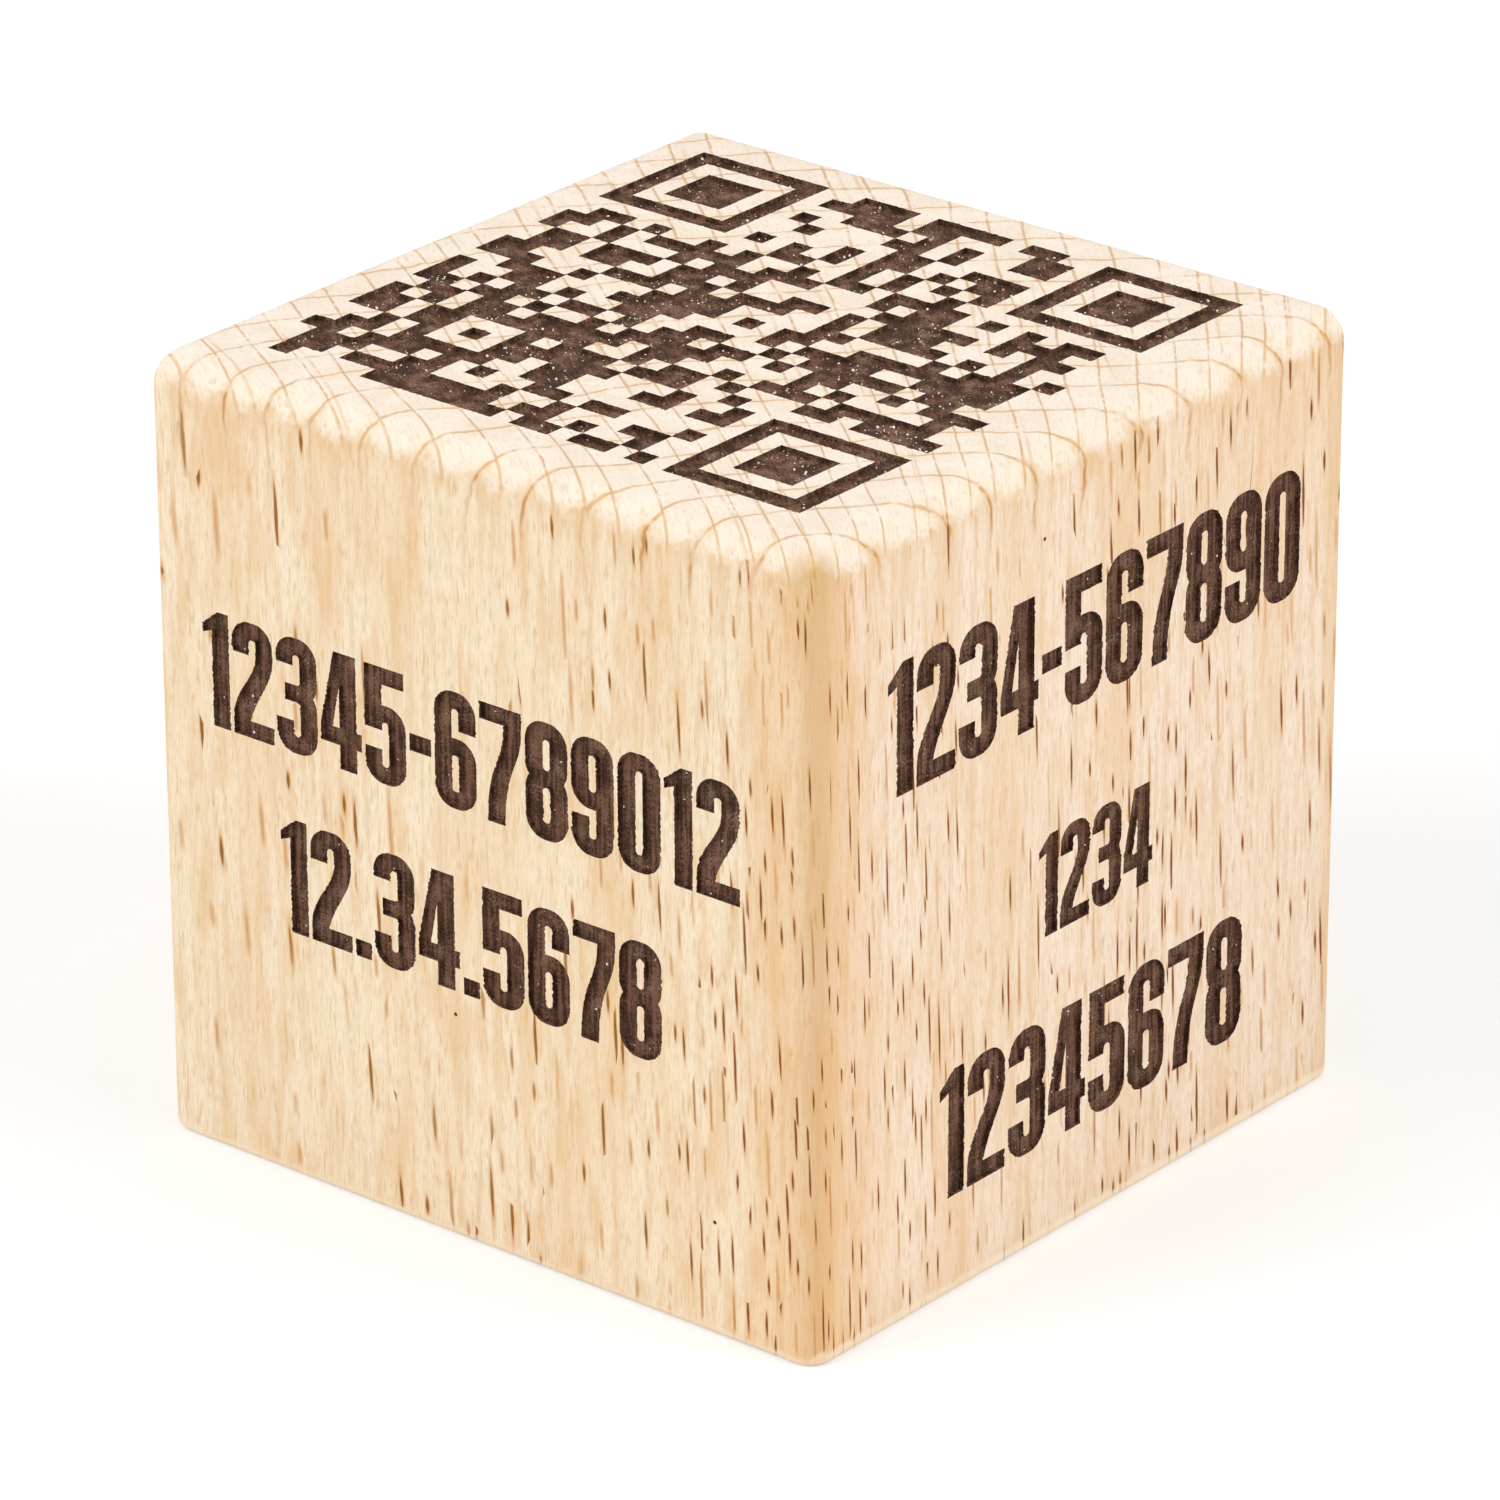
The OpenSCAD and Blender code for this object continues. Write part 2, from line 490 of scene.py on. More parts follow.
@dataclass(frozen=True)
class Rays:
    """What the fine rays show at a point, from 0 to 1.

    line is what they show on the end grain. core and halo are the dark middle and the warm rim of
    the flecks that they show on a side.
    """

    line: Field
    core: Field
    halo: Field


@dataclass(frozen=True)
class Grain:
    """How the beech grew: rings round an upright pith beside the block, and rays out of it.

    Lengths are in millimetres, in the block's own space. A name that ends in scale counts a
    noise's features per millimetre. half and height are the block's own sizes, and a face turns
    into the next one between the two turn values, inside the edge.
    """

    half: float
    height: float
    turn_start: float = 1.0
    turn_end: float = 0.1
    pith_x: float = 114.0
    pith_y: float = -96.0
    sway_scale: float = 0.06

    ring_pitch: float = 3.35
    ring_sway: float = 5.0
    ring_wobble: float = 0.5
    ring_line: Ramp = Ramp(0.444, 0.492)
    section: float = 2.1
    section_jog: float = 0.25
    section_wobble: float = 0.12
    section_unevenness: float = 0.85
    section_line: Ramp = Ramp(0.02, 0.13)

    drift_plan_scale: float = 0.09
    drift_rise_scale: float = 0.02
    ray_pitch: float = 0.8
    ray_height: float = 4.2
    ray_reach: float = 24.0
    ray_sway: float = 1.0
    ray_lean: float = -0.03
    ray_wobble: float = 0.05
    ray_unevenness: float = 0.92
    ray_width: Ramp = Ramp(0.0, 0.2)
    ray_ends: Ramp = Ramp(0.2, 0.5)
    ray_fade: float = 0.8
    ray_luck: Ramp = Ramp(0.2, 0.5)

    fleck_least: float = 0.55
    fleck_growth: float = 1.9
    fleck_share: float = 0.25
    fleck_rightward: float = 0.0065
    fleck_crowding: float = 0.9
    fleck_downward: float = 0.0035
    fleck_near_edge: Ramp = Ramp(2.0, 8.0, 0.22)
    core_luck: Ramp = Ramp(0.0, 0.15)
    core_half_width: float = 0.072
    core_taper: float = 1.6
    core_edge: Ramp = Ramp(-0.015, 0.02)
    halo_luck: Ramp = Ramp(-0.2, 0.0)
    halo_width: Ramp = Ramp(0.0, 0.15)
    halo_ends: tuple[float, float] = (0.5, 1.8)

    def spot(self, tree: Tree) -> Spot:
        """Finds where the shaded point lies on the block and in the grain.

        Args:
            tree: the material's tree.

        Returns:
            The point.
        """
        place = tree.scaled(tree.node("ShaderNodeTexCoord").outputs["Object"], 1 / MM)
        x, y, z = tree.axes(place)
        from_x, from_y = x - self.pith_x, y - self.pith_y
        reach = (from_x * from_x + from_y * from_y) ** 0.5
        across = tree.math("ARCTAN2", from_y, from_x) * math.hypot(self.pith_x, self.pith_y)
        aside = (self.half - abs(x)) + (self.half - abs(y))
        near = (self.half - x) + (self.half + y)
        right = x.rise(self.half - self.turn_start, self.half - self.turn_end)
        front = (1 - right) * y.fall(self.turn_end - self.half, self.turn_start - self.half)
        return Spot(tree, place, x, y, z, reach, across, self.height - z, aside, near, right, front)

    def rings(self, spot: Spot, waver: Field) -> Rings:
        """Draws the growth rings, set off a little from one broad ray to the next.

        Args:
            spot: the shaded point.
            waver: noise that makes the lines waver.

        Returns:
            The rings and the broad rays.
        """
        tree = spot.tree
        sway = spot.even(self.sway_scale) - 0.5
        cell = {"W": (spot.across + waver * self.section_wobble) / self.section + sway,
                "Scale": 1.0, "Randomness": self.section_unevenness}
        section = tree.node("ShaderNodeTexVoronoi", {"voronoi_dimensions": "1D"}, cell)
        luck, _, _ = tree.axes(section.outputs["Color"])
        border = tree.field("ShaderNodeTexVoronoi", "Distance",
                            {"voronoi_dimensions": "1D", "feature": "DISTANCE_TO_EDGE"}, cell)
        stray = sway * self.ring_sway + luck * self.section_jog + waver * self.ring_wobble
        phase = ((spot.reach + stray) / self.ring_pitch).part()
        away = abs(phase - 0.5)
        late = away * away * 4
        return Rings(self.ring_line.up(away), late, self.section_line.down(border * self.section))

    def rays(self, spot: Spot, waver: Field) -> Rays:
        """Draws the fine rays, which are thin upright plates.

        Args:
            spot: the shaded point.
            waver: noise that makes the lines waver.

        Returns:
            The rays' lines and flecks.
        """
        tree = spot.tree
        drift_at = tree.vector(spot.x * self.drift_plan_scale, spot.y * self.drift_plan_scale,
                               spot.z * self.drift_rise_scale)
        drift = tree.node("ShaderNodeTexNoise", {"noise_dimensions": "3D"},
                          {"Vector": drift_at, "Scale": 1.0, "Detail": 0.0})
        sway, crowd, _ = tree.axes(drift.outputs["Color"])
        stray = (sway - 0.5) * self.ray_sway + spot.z * self.ray_lean + waver * self.ray_wobble
        cell = tree.vector(spot.reach / self.ray_reach, (spot.across + stray) / self.ray_pitch,
                           spot.z / self.ray_height)
        nearest = tree.node("ShaderNodeTexVoronoi", {"voronoi_dimensions": "3D"},
                            {"Vector": cell, "Scale": 1.0, "Randomness": self.ray_unevenness})
        far, beside, above = tree.axes(tree.vector_math("SUBTRACT", cell, nearest.outputs["Position"]))
        luck, size, _ = tree.axes(nearest.outputs["Color"])
        beside = abs(beside * self.ray_pitch)
        above = abs(above * self.ray_height)
        tall = self.fleck_least + size * size * self.fleck_growth
        chance = self.fleck_share + spot.x * self.fleck_rightward + (crowd - 0.5) * self.fleck_crowding
        chance = chance + (spot.drop - self.half) * self.fleck_downward
        chance = chance + self.fleck_near_edge.down(spot.near) - luck
        width = (1 - (above / tall) ** self.core_taper) * self.core_half_width
        core = self.core_edge.up(width - beside) * self.core_luck.up(chance)
        low, high = self.halo_ends
        halo = self.halo_width.down(beside) * above.fall(tall * low, tall * high)
        halo = halo * self.halo_luck.up(chance)
        line = self.ray_width.down(beside) * self.ray_ends.down(abs(far))
        line = line * above.fall(tall, tall + self.ray_fade) * self.ray_luck.down(luck)
        return Rays(line, core, halo)


@dataclass(frozen=True)
class EndGrain:
    """Colours of the top face and of the rounding below it, where the paler colour is partly painted
    highlight.

    Lengths are in millimetres. A name that ends in scale counts a noise's features per millimetre.
    """

    light: Colour = colour("#fef1e1")
    dark: Colour = colour("#f4e1cc")
    pale_and_highlight: Colour = colour("#fff1db")
    pore: Colour = colour("#e0bf9a")
    gold: Colour = colour("#ebbf84")
    line_tan: Colour = colour("#deb587")
    line_gold: Colour = colour("#e8b87a")
    line_dark: Colour = colour("#c98f50")
    scorch: Colour = colour("#bd7a30")
    corner_gold: Colour = colour("#d9ad6c")
    rounding: Ramp = Ramp(0.0, 0.7)
    patch_scale: float = 0.45
    patches: Ramp = Ramp(0.35, 0.65, 0.5)
    late_dark: float = 0.2
    pale_and_highlight_spots: Ramp = Ramp(0.4, 0.6, 0.5)
    pale_and_highlight_least: float = 0.5
    fine_plan_scale: float = 7.0
    fine_along_scale: float = 1.3
    fine_rays: Ramp = Ramp(0.5, 0.7, 0.26)
    pores: Ramp = Ramp(0.3, 0.42)
    pore_share: Blend = Blend(0.15, 0.35)
    breaks: Ramp = Ramp(0.2, 0.6)
    late_gold: float = 0.2
    border_gold: Blend = Blend(0.3, 0.9)
    ray_share: float = 0.5
    soft_line: Ramp = Ramp(0.0, 0.6)
    soft_share: Blend = Blend(0.1, 0.6)
    sharp_line: Ramp = Ramp(0.6, 1.0)
    sharp_share: Blend = Blend(0.4, 0.2)
    scorch_share: float = 0.5
    corner_gold_inset: float = 0.6
    corner_gold_drop: float = 1.6
    corner_gold_size: float = 2.6
    corner_gold_least: float = 0.4

    def shown(self, spot: Spot, rings: Rings, rays: Rays, blotch: Field,
              turned: Field, grain: Grain) -> bpy.types.NodeSocket:
        """Colours the end grain, and a golden patch at the top of the corner between the two engraved
        sides.

        Args:
            spot: the shaded point.
            rings: the growth rings.
            rays: the fine rays.
            blotch: noise that mottles the wood.
            turned: how far the surface has turned from the top to a side.
            grain: the grain, with the block's size.

        Returns:
            The colour.
        """
        tree = spot.tree
        curve = self.rounding.up(spot.drop)
        patch = spot.even(self.patch_scale, 2.0)
        fine = spot.streaks(self.fine_plan_scale, self.fine_along_scale)
        broken = self.breaks.up(patch + blotch - 0.5)
        base = tree.mix(self.patches.up(patch) + rings.late * self.late_dark, self.light, self.dark)
        # Partly painted highlight: the rounding below the top is made paler, in part because its end grain
        # is paler and in part as painted light where the curve faces the lamps.
        base = tree.mix(curve * (self.pale_and_highlight_spots.up(blotch) + self.pale_and_highlight_least), base, self.pale_and_highlight)
        base = tree.mix(self.fine_rays.up(fine), base, self.pore)
        base = tree.mix(self.pores.down(blotch) * self.pore_share.at(curve), base, self.pore)
        ripe = rings.late * rings.late * curve * self.late_gold
        base = tree.mix(ripe + turned * self.border_gold.at(broken), base, self.gold)
        drawn = tree.mix(curve, self.line_tan, self.line_gold)
        for mark in (rings.line, rings.broad, rays.line * self.ray_share):
            base = tree.mix(self.soft_line.up(mark) * self.soft_share.at(broken), base, drawn)
            sharp = self.sharp_line.up(mark) * broken * self.sharp_share.at(curve)
            base = tree.mix(sharp, base, self.line_dark)
        lines = rings.line.most(rings.broad)
        base = tree.mix(lines * turned * broken * self.scorch_share, base, self.scorch)
        # A soft golden patch at the top of the corner between the two engraved sides, mottled by the
        # blotch noise.
        inset = grain.half - self.corner_gold_inset
        corner_gold_spot = spot.dab((inset, -inset, grain.height - self.corner_gold_drop), self.corner_gold_size)
        return tree.mix(corner_gold_spot * (blotch + self.corner_gold_least), base, self.corner_gold)


@dataclass(frozen=True)
class LongGrain:
    """Colours of the faces that the grain runs along, partly painted shade along the upright edges and a
    painted highlight along the base.

    Lengths are in millimetres. A name that ends in scales counts a noise's features per millimetre
    across and along the fibres.
    """

    front_cream: Colour = colour("#fcebcf")
    right_cream: Colour = colour("#fce8d3")
    tan: Colour = colour("#e7c397")
    dash: Colour = colour("#dbac70")
    gold: Colour = colour("#ebbf84")
    line_dark: Colour = colour("#c98f50")
    edge_tan_and_shade: Colour = colour("#e6b983")
    near_gold_and_shade: Colour = colour("#e9b06b")
    fleck_halo: Colour = colour("#d08c38")
    fleck_core: Colour = colour("#864808")
    fleck_faint: Colour = colour("#96600f")
    base_painted_highlight: Colour = colour("#fdeacf")
    pinhole: Colour = colour("#4a2f1e")
    streak_scales: tuple[float, float] = (1.6, 0.14)
    band_scales: tuple[float, float] = (0.2, 0.03)
    dash_scales: tuple[float, float] = (4.5, 0.7)
    gold_scales: tuple[float, float] = (0.9, 0.2)
    fibres: Ramp = Ramp(0.42, 0.7, 0.5)
    dashes: Ramp = Ramp(0.58, 0.74, 0.45)
    streaks: Ramp = Ramp(0.42, 0.72, 0.5)
    gold_streaks: Ramp = Ramp(0.5, 0.7)
    gold_share: Blend = Blend(0.4, 0.25)
    bands: Ramp = Ramp(0.42, 0.66, 0.3)
    late_zone: Ramp = Ramp(4.0, 16.0, 0.15)
    gold_zone: Ramp = Ramp(1.6, 4.0, 0.4)
    gold_tips: Ramp = Ramp(0.35, 0.65)
    line_zone: Ramp = Ramp(1.8, 6.0)
    line_streaks: Ramp = Ramp(0.42, 0.6, 0.6)
    line_least: float = 0.35
    edge_width: Blend = Blend(1.4, 3.2)
    edge_share: Blend = Blend(0.5, 0.7)
    near_zone: Ramp = Ramp(1.2, 6.8, 0.56)
    near_least: float = 0.5
    near_streaks: float = 0.5
    near_fade: Ramp = Ramp(10.0, 44.0, 0.2)
    halo_share: float = 0.7
    faint_zone: Ramp = Ramp(4.0, 11.0)
    core_share: Blend = Blend(1.0, 0.95)
    base_height: Blend = Blend(0.3, 0.6)
    base_waviness: float = 0.8
    base_line: Ramp = Ramp(-0.05, 0.3, 0.7)
    pinhole_radius: float = 0.22
    pinhole_edge: Ramp = Ramp(0.2, 0.6)
    front_pinholes: tuple[Point, ...] = ((-1.7, 14.5), (17.7, 7.3))
    right_pinholes: tuple[Point, ...] = ((-4.5, 44.6),)

    def shown(self, spot: Spot, rings: Rings, rays: Rays, fibre: Field,
              grain: Grain) -> bpy.types.NodeSocket:
        """Colours the long grain.

        Args:
            spot: the shaded point.
            rings: the growth rings.
            rays: the fine rays.
            fibre: the fine noise along the fibres.
            grain: the grain, with the block's size.

        Returns:
            The colour.
        """
        tree = spot.tree
        streak = spot.noise(*self.streak_scales, 2.0)
        base = self.fibred(spot, fibre, streak)
        base = self.banded(spot, rings, streak, base)
        base = self.edged(spot, streak, base)
        base = tree.mix(rays.halo * self.halo_share, base, self.fleck_halo)
        faint = spot.front * self.faint_zone.up(grain.half - spot.x)
        core = tree.mix(faint, self.fleck_core, self.fleck_faint)
        base = tree.mix(rays.core * self.core_share.at(spot.front), base, core)
        # Painted highlight: a pale wavy line along the foot stands for the floor's light caught on the
        # rounded base edge.
        lit = self.base_height.at(spot.right) + streak * self.base_waviness - spot.z
        base = tree.mix(self.base_line.up(lit), base, self.base_painted_highlight)
        places = [Side.FRONT.solid(at, grain.half) for at in self.front_pinholes]
        places += [Side.RIGHT.solid(at, grain.half) for at in self.right_pinholes]
        holes = [spot.dab(at, self.pinhole_radius) for at in places]
        return tree.mix(self.pinhole_edge.up(sum(holes[1:], holes[0])), base, self.pinhole)

    def fibred(self, spot: Spot, fibre: Field, streak: Field) -> bpy.types.NodeSocket:
        """Lays fibres, dashes and streaks over the cream of each face.

        Args:
            spot: the shaded point.
            fibre: the fine noise along the fibres.
            streak: the coarser noise along them.

        Returns:
            The colour.
        """
        tree = spot.tree
        base = tree.mix(spot.right, self.front_cream, self.right_cream)
        base = tree.mix(self.fibres.up(fibre), base, self.tan)
        base = tree.mix(self.dashes.up(spot.noise(*self.dash_scales)), base, self.dash)
        base = tree.mix(self.streaks.up(streak), base, self.tan)
        golden = self.gold_streaks.up(spot.noise(*self.gold_scales))
        return tree.mix(golden * self.gold_share.at(spot.right), base, self.gold)

    def banded(self, spot: Spot, rings: Rings, streak: Field,
               base: bpy.types.NodeSocket) -> bpy.types.NodeSocket:
        """Lets the rings run down from the top.

        Args:
            spot: the shaded point.
            rings: the growth rings.
            streak: the coarser noise along the fibres.
            base: the colour underneath.

        Returns:
            The colour.
        """
        tree = spot.tree
        band = self.bands.up(spot.noise(*self.band_scales))
        base = tree.mix(band + rings.late * self.late_zone.down(spot.drop), base, self.gold)
        base = tree.mix(self.gold_zone.down(spot.drop) * self.gold_tips.up(streak), base, self.gold)
        line = rings.line * self.line_zone.down(spot.drop)
        return tree.mix(line * (self.line_streaks.up(streak) + self.line_least), base, self.line_dark)

    def edged(self, spot: Spot, streak: Field, base: bpy.types.NodeSocket) -> bpy.types.NodeSocket:
        """Darkens the wood along the upright edges, most along the one between the engraved sides: partly
        the wood's warmer tone and partly painted shade of edges that lie between the lamps.

        Args:
            spot: the shaded point.
            streak: the coarser noise along the fibres.
            base: the colour underneath.

        Returns:
            The colour.
        """
        tree = spot.tree
        # Partly painted shade: the tan band along the upright edges is partly the wood's warmer tone and
        # partly shade painted where the edges lie between the lamps.
        edge_tone_and_shade = spot.aside.fall(0.0, self.edge_width.at(spot.right)) * self.edge_share.at(spot.right)
        base = tree.mix(edge_tone_and_shade, base, self.edge_tan_and_shade)
        # Partly painted shade: a warm golden band along the edge between the engraved sides, fading
        # upwards, stands partly for the wood's tone and partly for shade on that edge between the lamps.
        near = streak * self.near_streaks + self.near_least - self.near_fade.up(spot.z)
        return tree.mix(self.near_zone.down(spot.near) * near, base, self.near_gold_and_shade)


@dataclass(frozen=True)
class Beech:
    """Sanded beech with the grain upright: rings and rays on top, fibres and flecks on the sides.

    Lengths are in millimetres. A name that ends in scale counts a noise's features per millimetre.
    """

    grain: Grain
    end_grain: EndGrain = EndGrain()
    long_grain: LongGrain = LongGrain()
    waver_scale: float = 0.9
    blotch_scale: float = 1.7
    fibre_scales: tuple[float, float] = (9.0, 1.1)
    border: Ramp = Ramp(1.2, 2.8)
    border_raggedness: float = 2.0
    border_scallops: float = 0.7
    end_relief: float = 0.25
    long_relief: float = 0.3
    relief_depth: float = 0.06 * MM
    roughness: float = 0.62
    shine: float = 0.2

    def material(self) -> bpy.types.Material:
        """Builds the material.

        Returns:
            The wood of the block's outside.
        """
        made = bpy.data.materials.new("sanded_beech")
        made.use_nodes = True
        tree = Tree(made.node_tree)
        spot = self.grain.spot(tree)
        waver = spot.even(self.waver_scale) - 0.5
        rings = self.grain.rings(spot, waver)
        rays = self.grain.rays(spot, waver)
        blotch = spot.even(self.blotch_scale, 2.0)
        ragged = (blotch - 0.5) * self.border_raggedness + rings.late * self.border_scallops
        turned = self.border.up(spot.drop + ragged)
        top = self.end_grain.shown(spot, rings, rays, blotch, turned, self.grain)
        fibre = spot.noise(*self.fibre_scales, 2.0)
        side = self.long_grain.shown(spot, rings, rays, fibre, self.grain)
        both = tree.node("ShaderNodeMixShader", None,
                         {0: turned, 1: self.surface(tree, top, blotch, self.end_relief),
                          2: self.surface(tree, side, fibre, self.long_relief)})
        tree.node("ShaderNodeOutputMaterial", None, {"Surface": both.outputs[0]})
        return made

    def surface(self, tree: Tree, shown: bpy.types.NodeSocket, height: Field,
                strength: float) -> bpy.types.NodeSocket:
        """Makes the satin surface of sanded wood.

        Args:
            tree: the material's tree.
            shown: its colour.
            height: the relief of its fibres.
            strength: how much of the relief is felt.

        Returns:
            The shader.
        """
        bump = tree.node("ShaderNodeBump", None,
                         {"Strength": strength, "Distance": self.relief_depth, "Height": height})
        sockets = {"Base Color": shown, "Roughness": self.roughness,
                   "Specular IOR Level": self.shine, "Normal": bump.outputs[0]}
        return tree.node("ShaderNodeBsdfPrincipled", None, sockets).outputs[0]


@dataclass(frozen=True)
class BurntBeech:
    """Floor and walls of the engraving: dark brown, streaked along the grain that it cuts.

    Lengths are in millimetres. A name that ends in scale or scales counts a noise's features per
    millimetre. Each Blend gives a number on the sides, and the same number on the top.
    """

    grain: Grain
    deep: Colour = colour("#3a2415")
    brown: Colour = colour("#775341")
    light: Colour = colour("#8f7b69")
    hair: Colour = colour("#b39a84")
    top_zone: Ramp = Ramp(1.5, 2.0)
    ray_scales: tuple[float, float] = (4.0, 1.2)
    fibre_scales: tuple[float, float] = (3.4, 0.22)
    swept_scales: tuple[float, float] = (1.0, 5.0)
    cloud_scale: float = 0.9
    grit_scale: float = 7.0
    hair_scale: float = 1.1
    streak_weight: Blend = Blend(0.6, 0.3)
    swept_weight: float = 0.15
    cloud_weight: Blend = Blend(0.2, 0.45)
    grit_weight: Blend = Blend(0.4, 0.55)
    darkening: Blend = Blend(0.17, 0.235)
    tones: Ramp = Ramp(0.39, 0.62)
    smears: Ramp = Ramp(0.54, 0.68, 0.5)
    hair_width: Ramp = Ramp(0.004, 0.016)
    hair_zone: Ramp = Ramp(0.45, 0.6)
    hair_share: float = 0.45
    relief: float = 0.5
    relief_depth: float = 0.1 * MM
    roughness: float = 0.8
    shine: float = 0.2

    def material(self) -> bpy.types.Material:
        """Builds the material.

        Returns:
            The burnt wood inside the engraving.
        """
        made = bpy.data.materials.new("burnt_beech")
        made.use_nodes = True
        tree = Tree(made.node_tree)
        spot = self.grain.spot(tree)
        on_top = self.top_zone.down(spot.drop)
        streak = spot.streaks(*self.ray_scales) * on_top + spot.noise(*self.fibre_scales) * (1 - on_top)
        swept = spot.noise(*self.swept_scales)
        cloud = spot.even(self.cloud_scale)
        grit = spot.even(self.grit_scale, 2.0)
        tone = streak * self.streak_weight.at(on_top) + swept * self.swept_weight
        tone = tone + cloud * self.cloud_weight.at(on_top) + grit * self.grit_weight.at(on_top)
        shown = tree.mix(self.tones.up(tone - self.darkening.at(on_top)), self.deep, self.brown)
        shown = tree.mix(self.smears.up((cloud + grit) * 0.5), shown, self.light)
        hair = self.hair_width.down(abs(spot.even(self.hair_scale) - 0.5)) * self.hair_zone.up(cloud)
        shown = tree.mix(hair * on_top * self.hair_share, shown, self.hair)
        bump = tree.node("ShaderNodeBump", None,
                         {"Strength": self.relief, "Distance": self.relief_depth, "Height": grit})
        shader = tree.node("ShaderNodeBsdfPrincipled", None,
                           {"Base Color": shown, "Roughness": self.roughness,
                            "Specular IOR Level": self.shine, "Normal": bump.outputs[0]})
        tree.node("ShaderNodeOutputMaterial", None, {"Surface": shader.outputs[0]})
        return made


@dataclass(frozen=True)
class PaleChip:
    """Unburnt fibre ends and sanding dust that sit in the engraving."""

    pale: Colour = colour("#fbf3e6")
    tan: Colour = colour("#b99474")
    tint_scale: float = 1.3
    tints: Ramp = Ramp(0.42, 0.66)
    roughness: float = 0.8

    def material(self) -> bpy.types.Material:
        """Builds the material.

        Returns:
            The pale wood of the chips.
        """
        made = bpy.data.materials.new("pale_chip")
        made.use_nodes = True
        tree = Tree(made.node_tree)
        place = tree.scaled(tree.node("ShaderNodeTexCoord").outputs["Object"], self.tint_scale / MM)
        shown = tree.mix(self.tints.up(tree.noise(place, 1.0)), self.pale, self.tan)
        shader = tree.node("ShaderNodeBsdfPrincipled", None,
                           {"Base Color": shown, "Roughness": self.roughness})
        tree.node("ShaderNodeOutputMaterial", None, {"Surface": shader.outputs[0]})
        return made


@dataclass
class Patch:
    """Part of the block's mesh that is still a list of corners and faces, in millimetres."""

    corners: list[Vector] = field(default_factory=list)
    faces: list[tuple[int, ...]] = field(default_factory=list)
    slack: list[Vector] = field(default_factory=list)
    sink: list[Vector] = field(default_factory=list)
    burnt: list[bool] = field(default_factory=list)
    chips: list[float] = field(default_factory=list)

    def corner(self, point: Vector, slack: Vector | None = None, sink: Vector | None = None) -> int:
        """Adds one corner.

        Args:
            point: where it is.
            slack: how far it may stray along each axis.
            sink: the way it may drop, with its share of the relief as length.

        Returns:
            The corner's number.
        """
        self.corners.append(point)
        self.slack.append(slack or Vector((0, 0, 0)))
        self.sink.append(sink or Vector((0, 0, 0)))
        return len(self.corners) - 1

    def face(self, corners: Iterable[int], burnt: bool = False, chips: float = 0.0) -> None:
        """Adds one face.

        Args:
            corners: its corners, anticlockwise from outside.
            burnt: whether it belongs to the engraving.
            chips: share of the full density of chips on it.
        """
        self.faces.append(tuple(corners))
        self.burnt.append(burnt)
        self.chips.append(chips)

    def add(self, other: Patch) -> None:
        """Takes in all of another patch.

        Args:
            other: the patch, which stays as it is.
        """
        start = len(self.corners)
        self.corners += other.corners
        self.slack += other.slack
        self.sink += other.sink
        self.faces += [tuple(start + i for i in face) for face in other.faces]
        self.burnt += other.burnt
        self.chips += other.chips

    def mesh(self, name: str, materials: Sequence[bpy.types.Material]) -> bpy.types.Mesh:
        """Makes a mesh in metres and welds the corners that coincide.

        Args:
            name: the mesh's name.
            materials: the outer wood and the burnt wood.

        Returns:
            The mesh, with its corners' slack and sink and its faces' chips as attributes.
        """
        made = bpy.data.meshes.new(name)
        made.from_pydata([point * MM for point in self.corners], [], self.faces)
        for material in materials:
            made.materials.append(material)
        made.polygons.foreach_set("material_index", [int(b) for b in self.burnt])
        for label, values in (("slack", self.slack), ("sink", self.sink)):
            data = made.attributes.new(label, "FLOAT_VECTOR", "POINT").data
            data.foreach_set("vector", [c for value in values for c in value])
        made.attributes.new("chips", "FLOAT", "FACE").data.foreach_set("value", self.chips)
        shape = bmesh.new()
        shape.from_mesh(made)
        bmesh.ops.remove_doubles(shape, verts=shape.verts, dist=WELD)
        shape.to_mesh(made)
        shape.free()
        return made


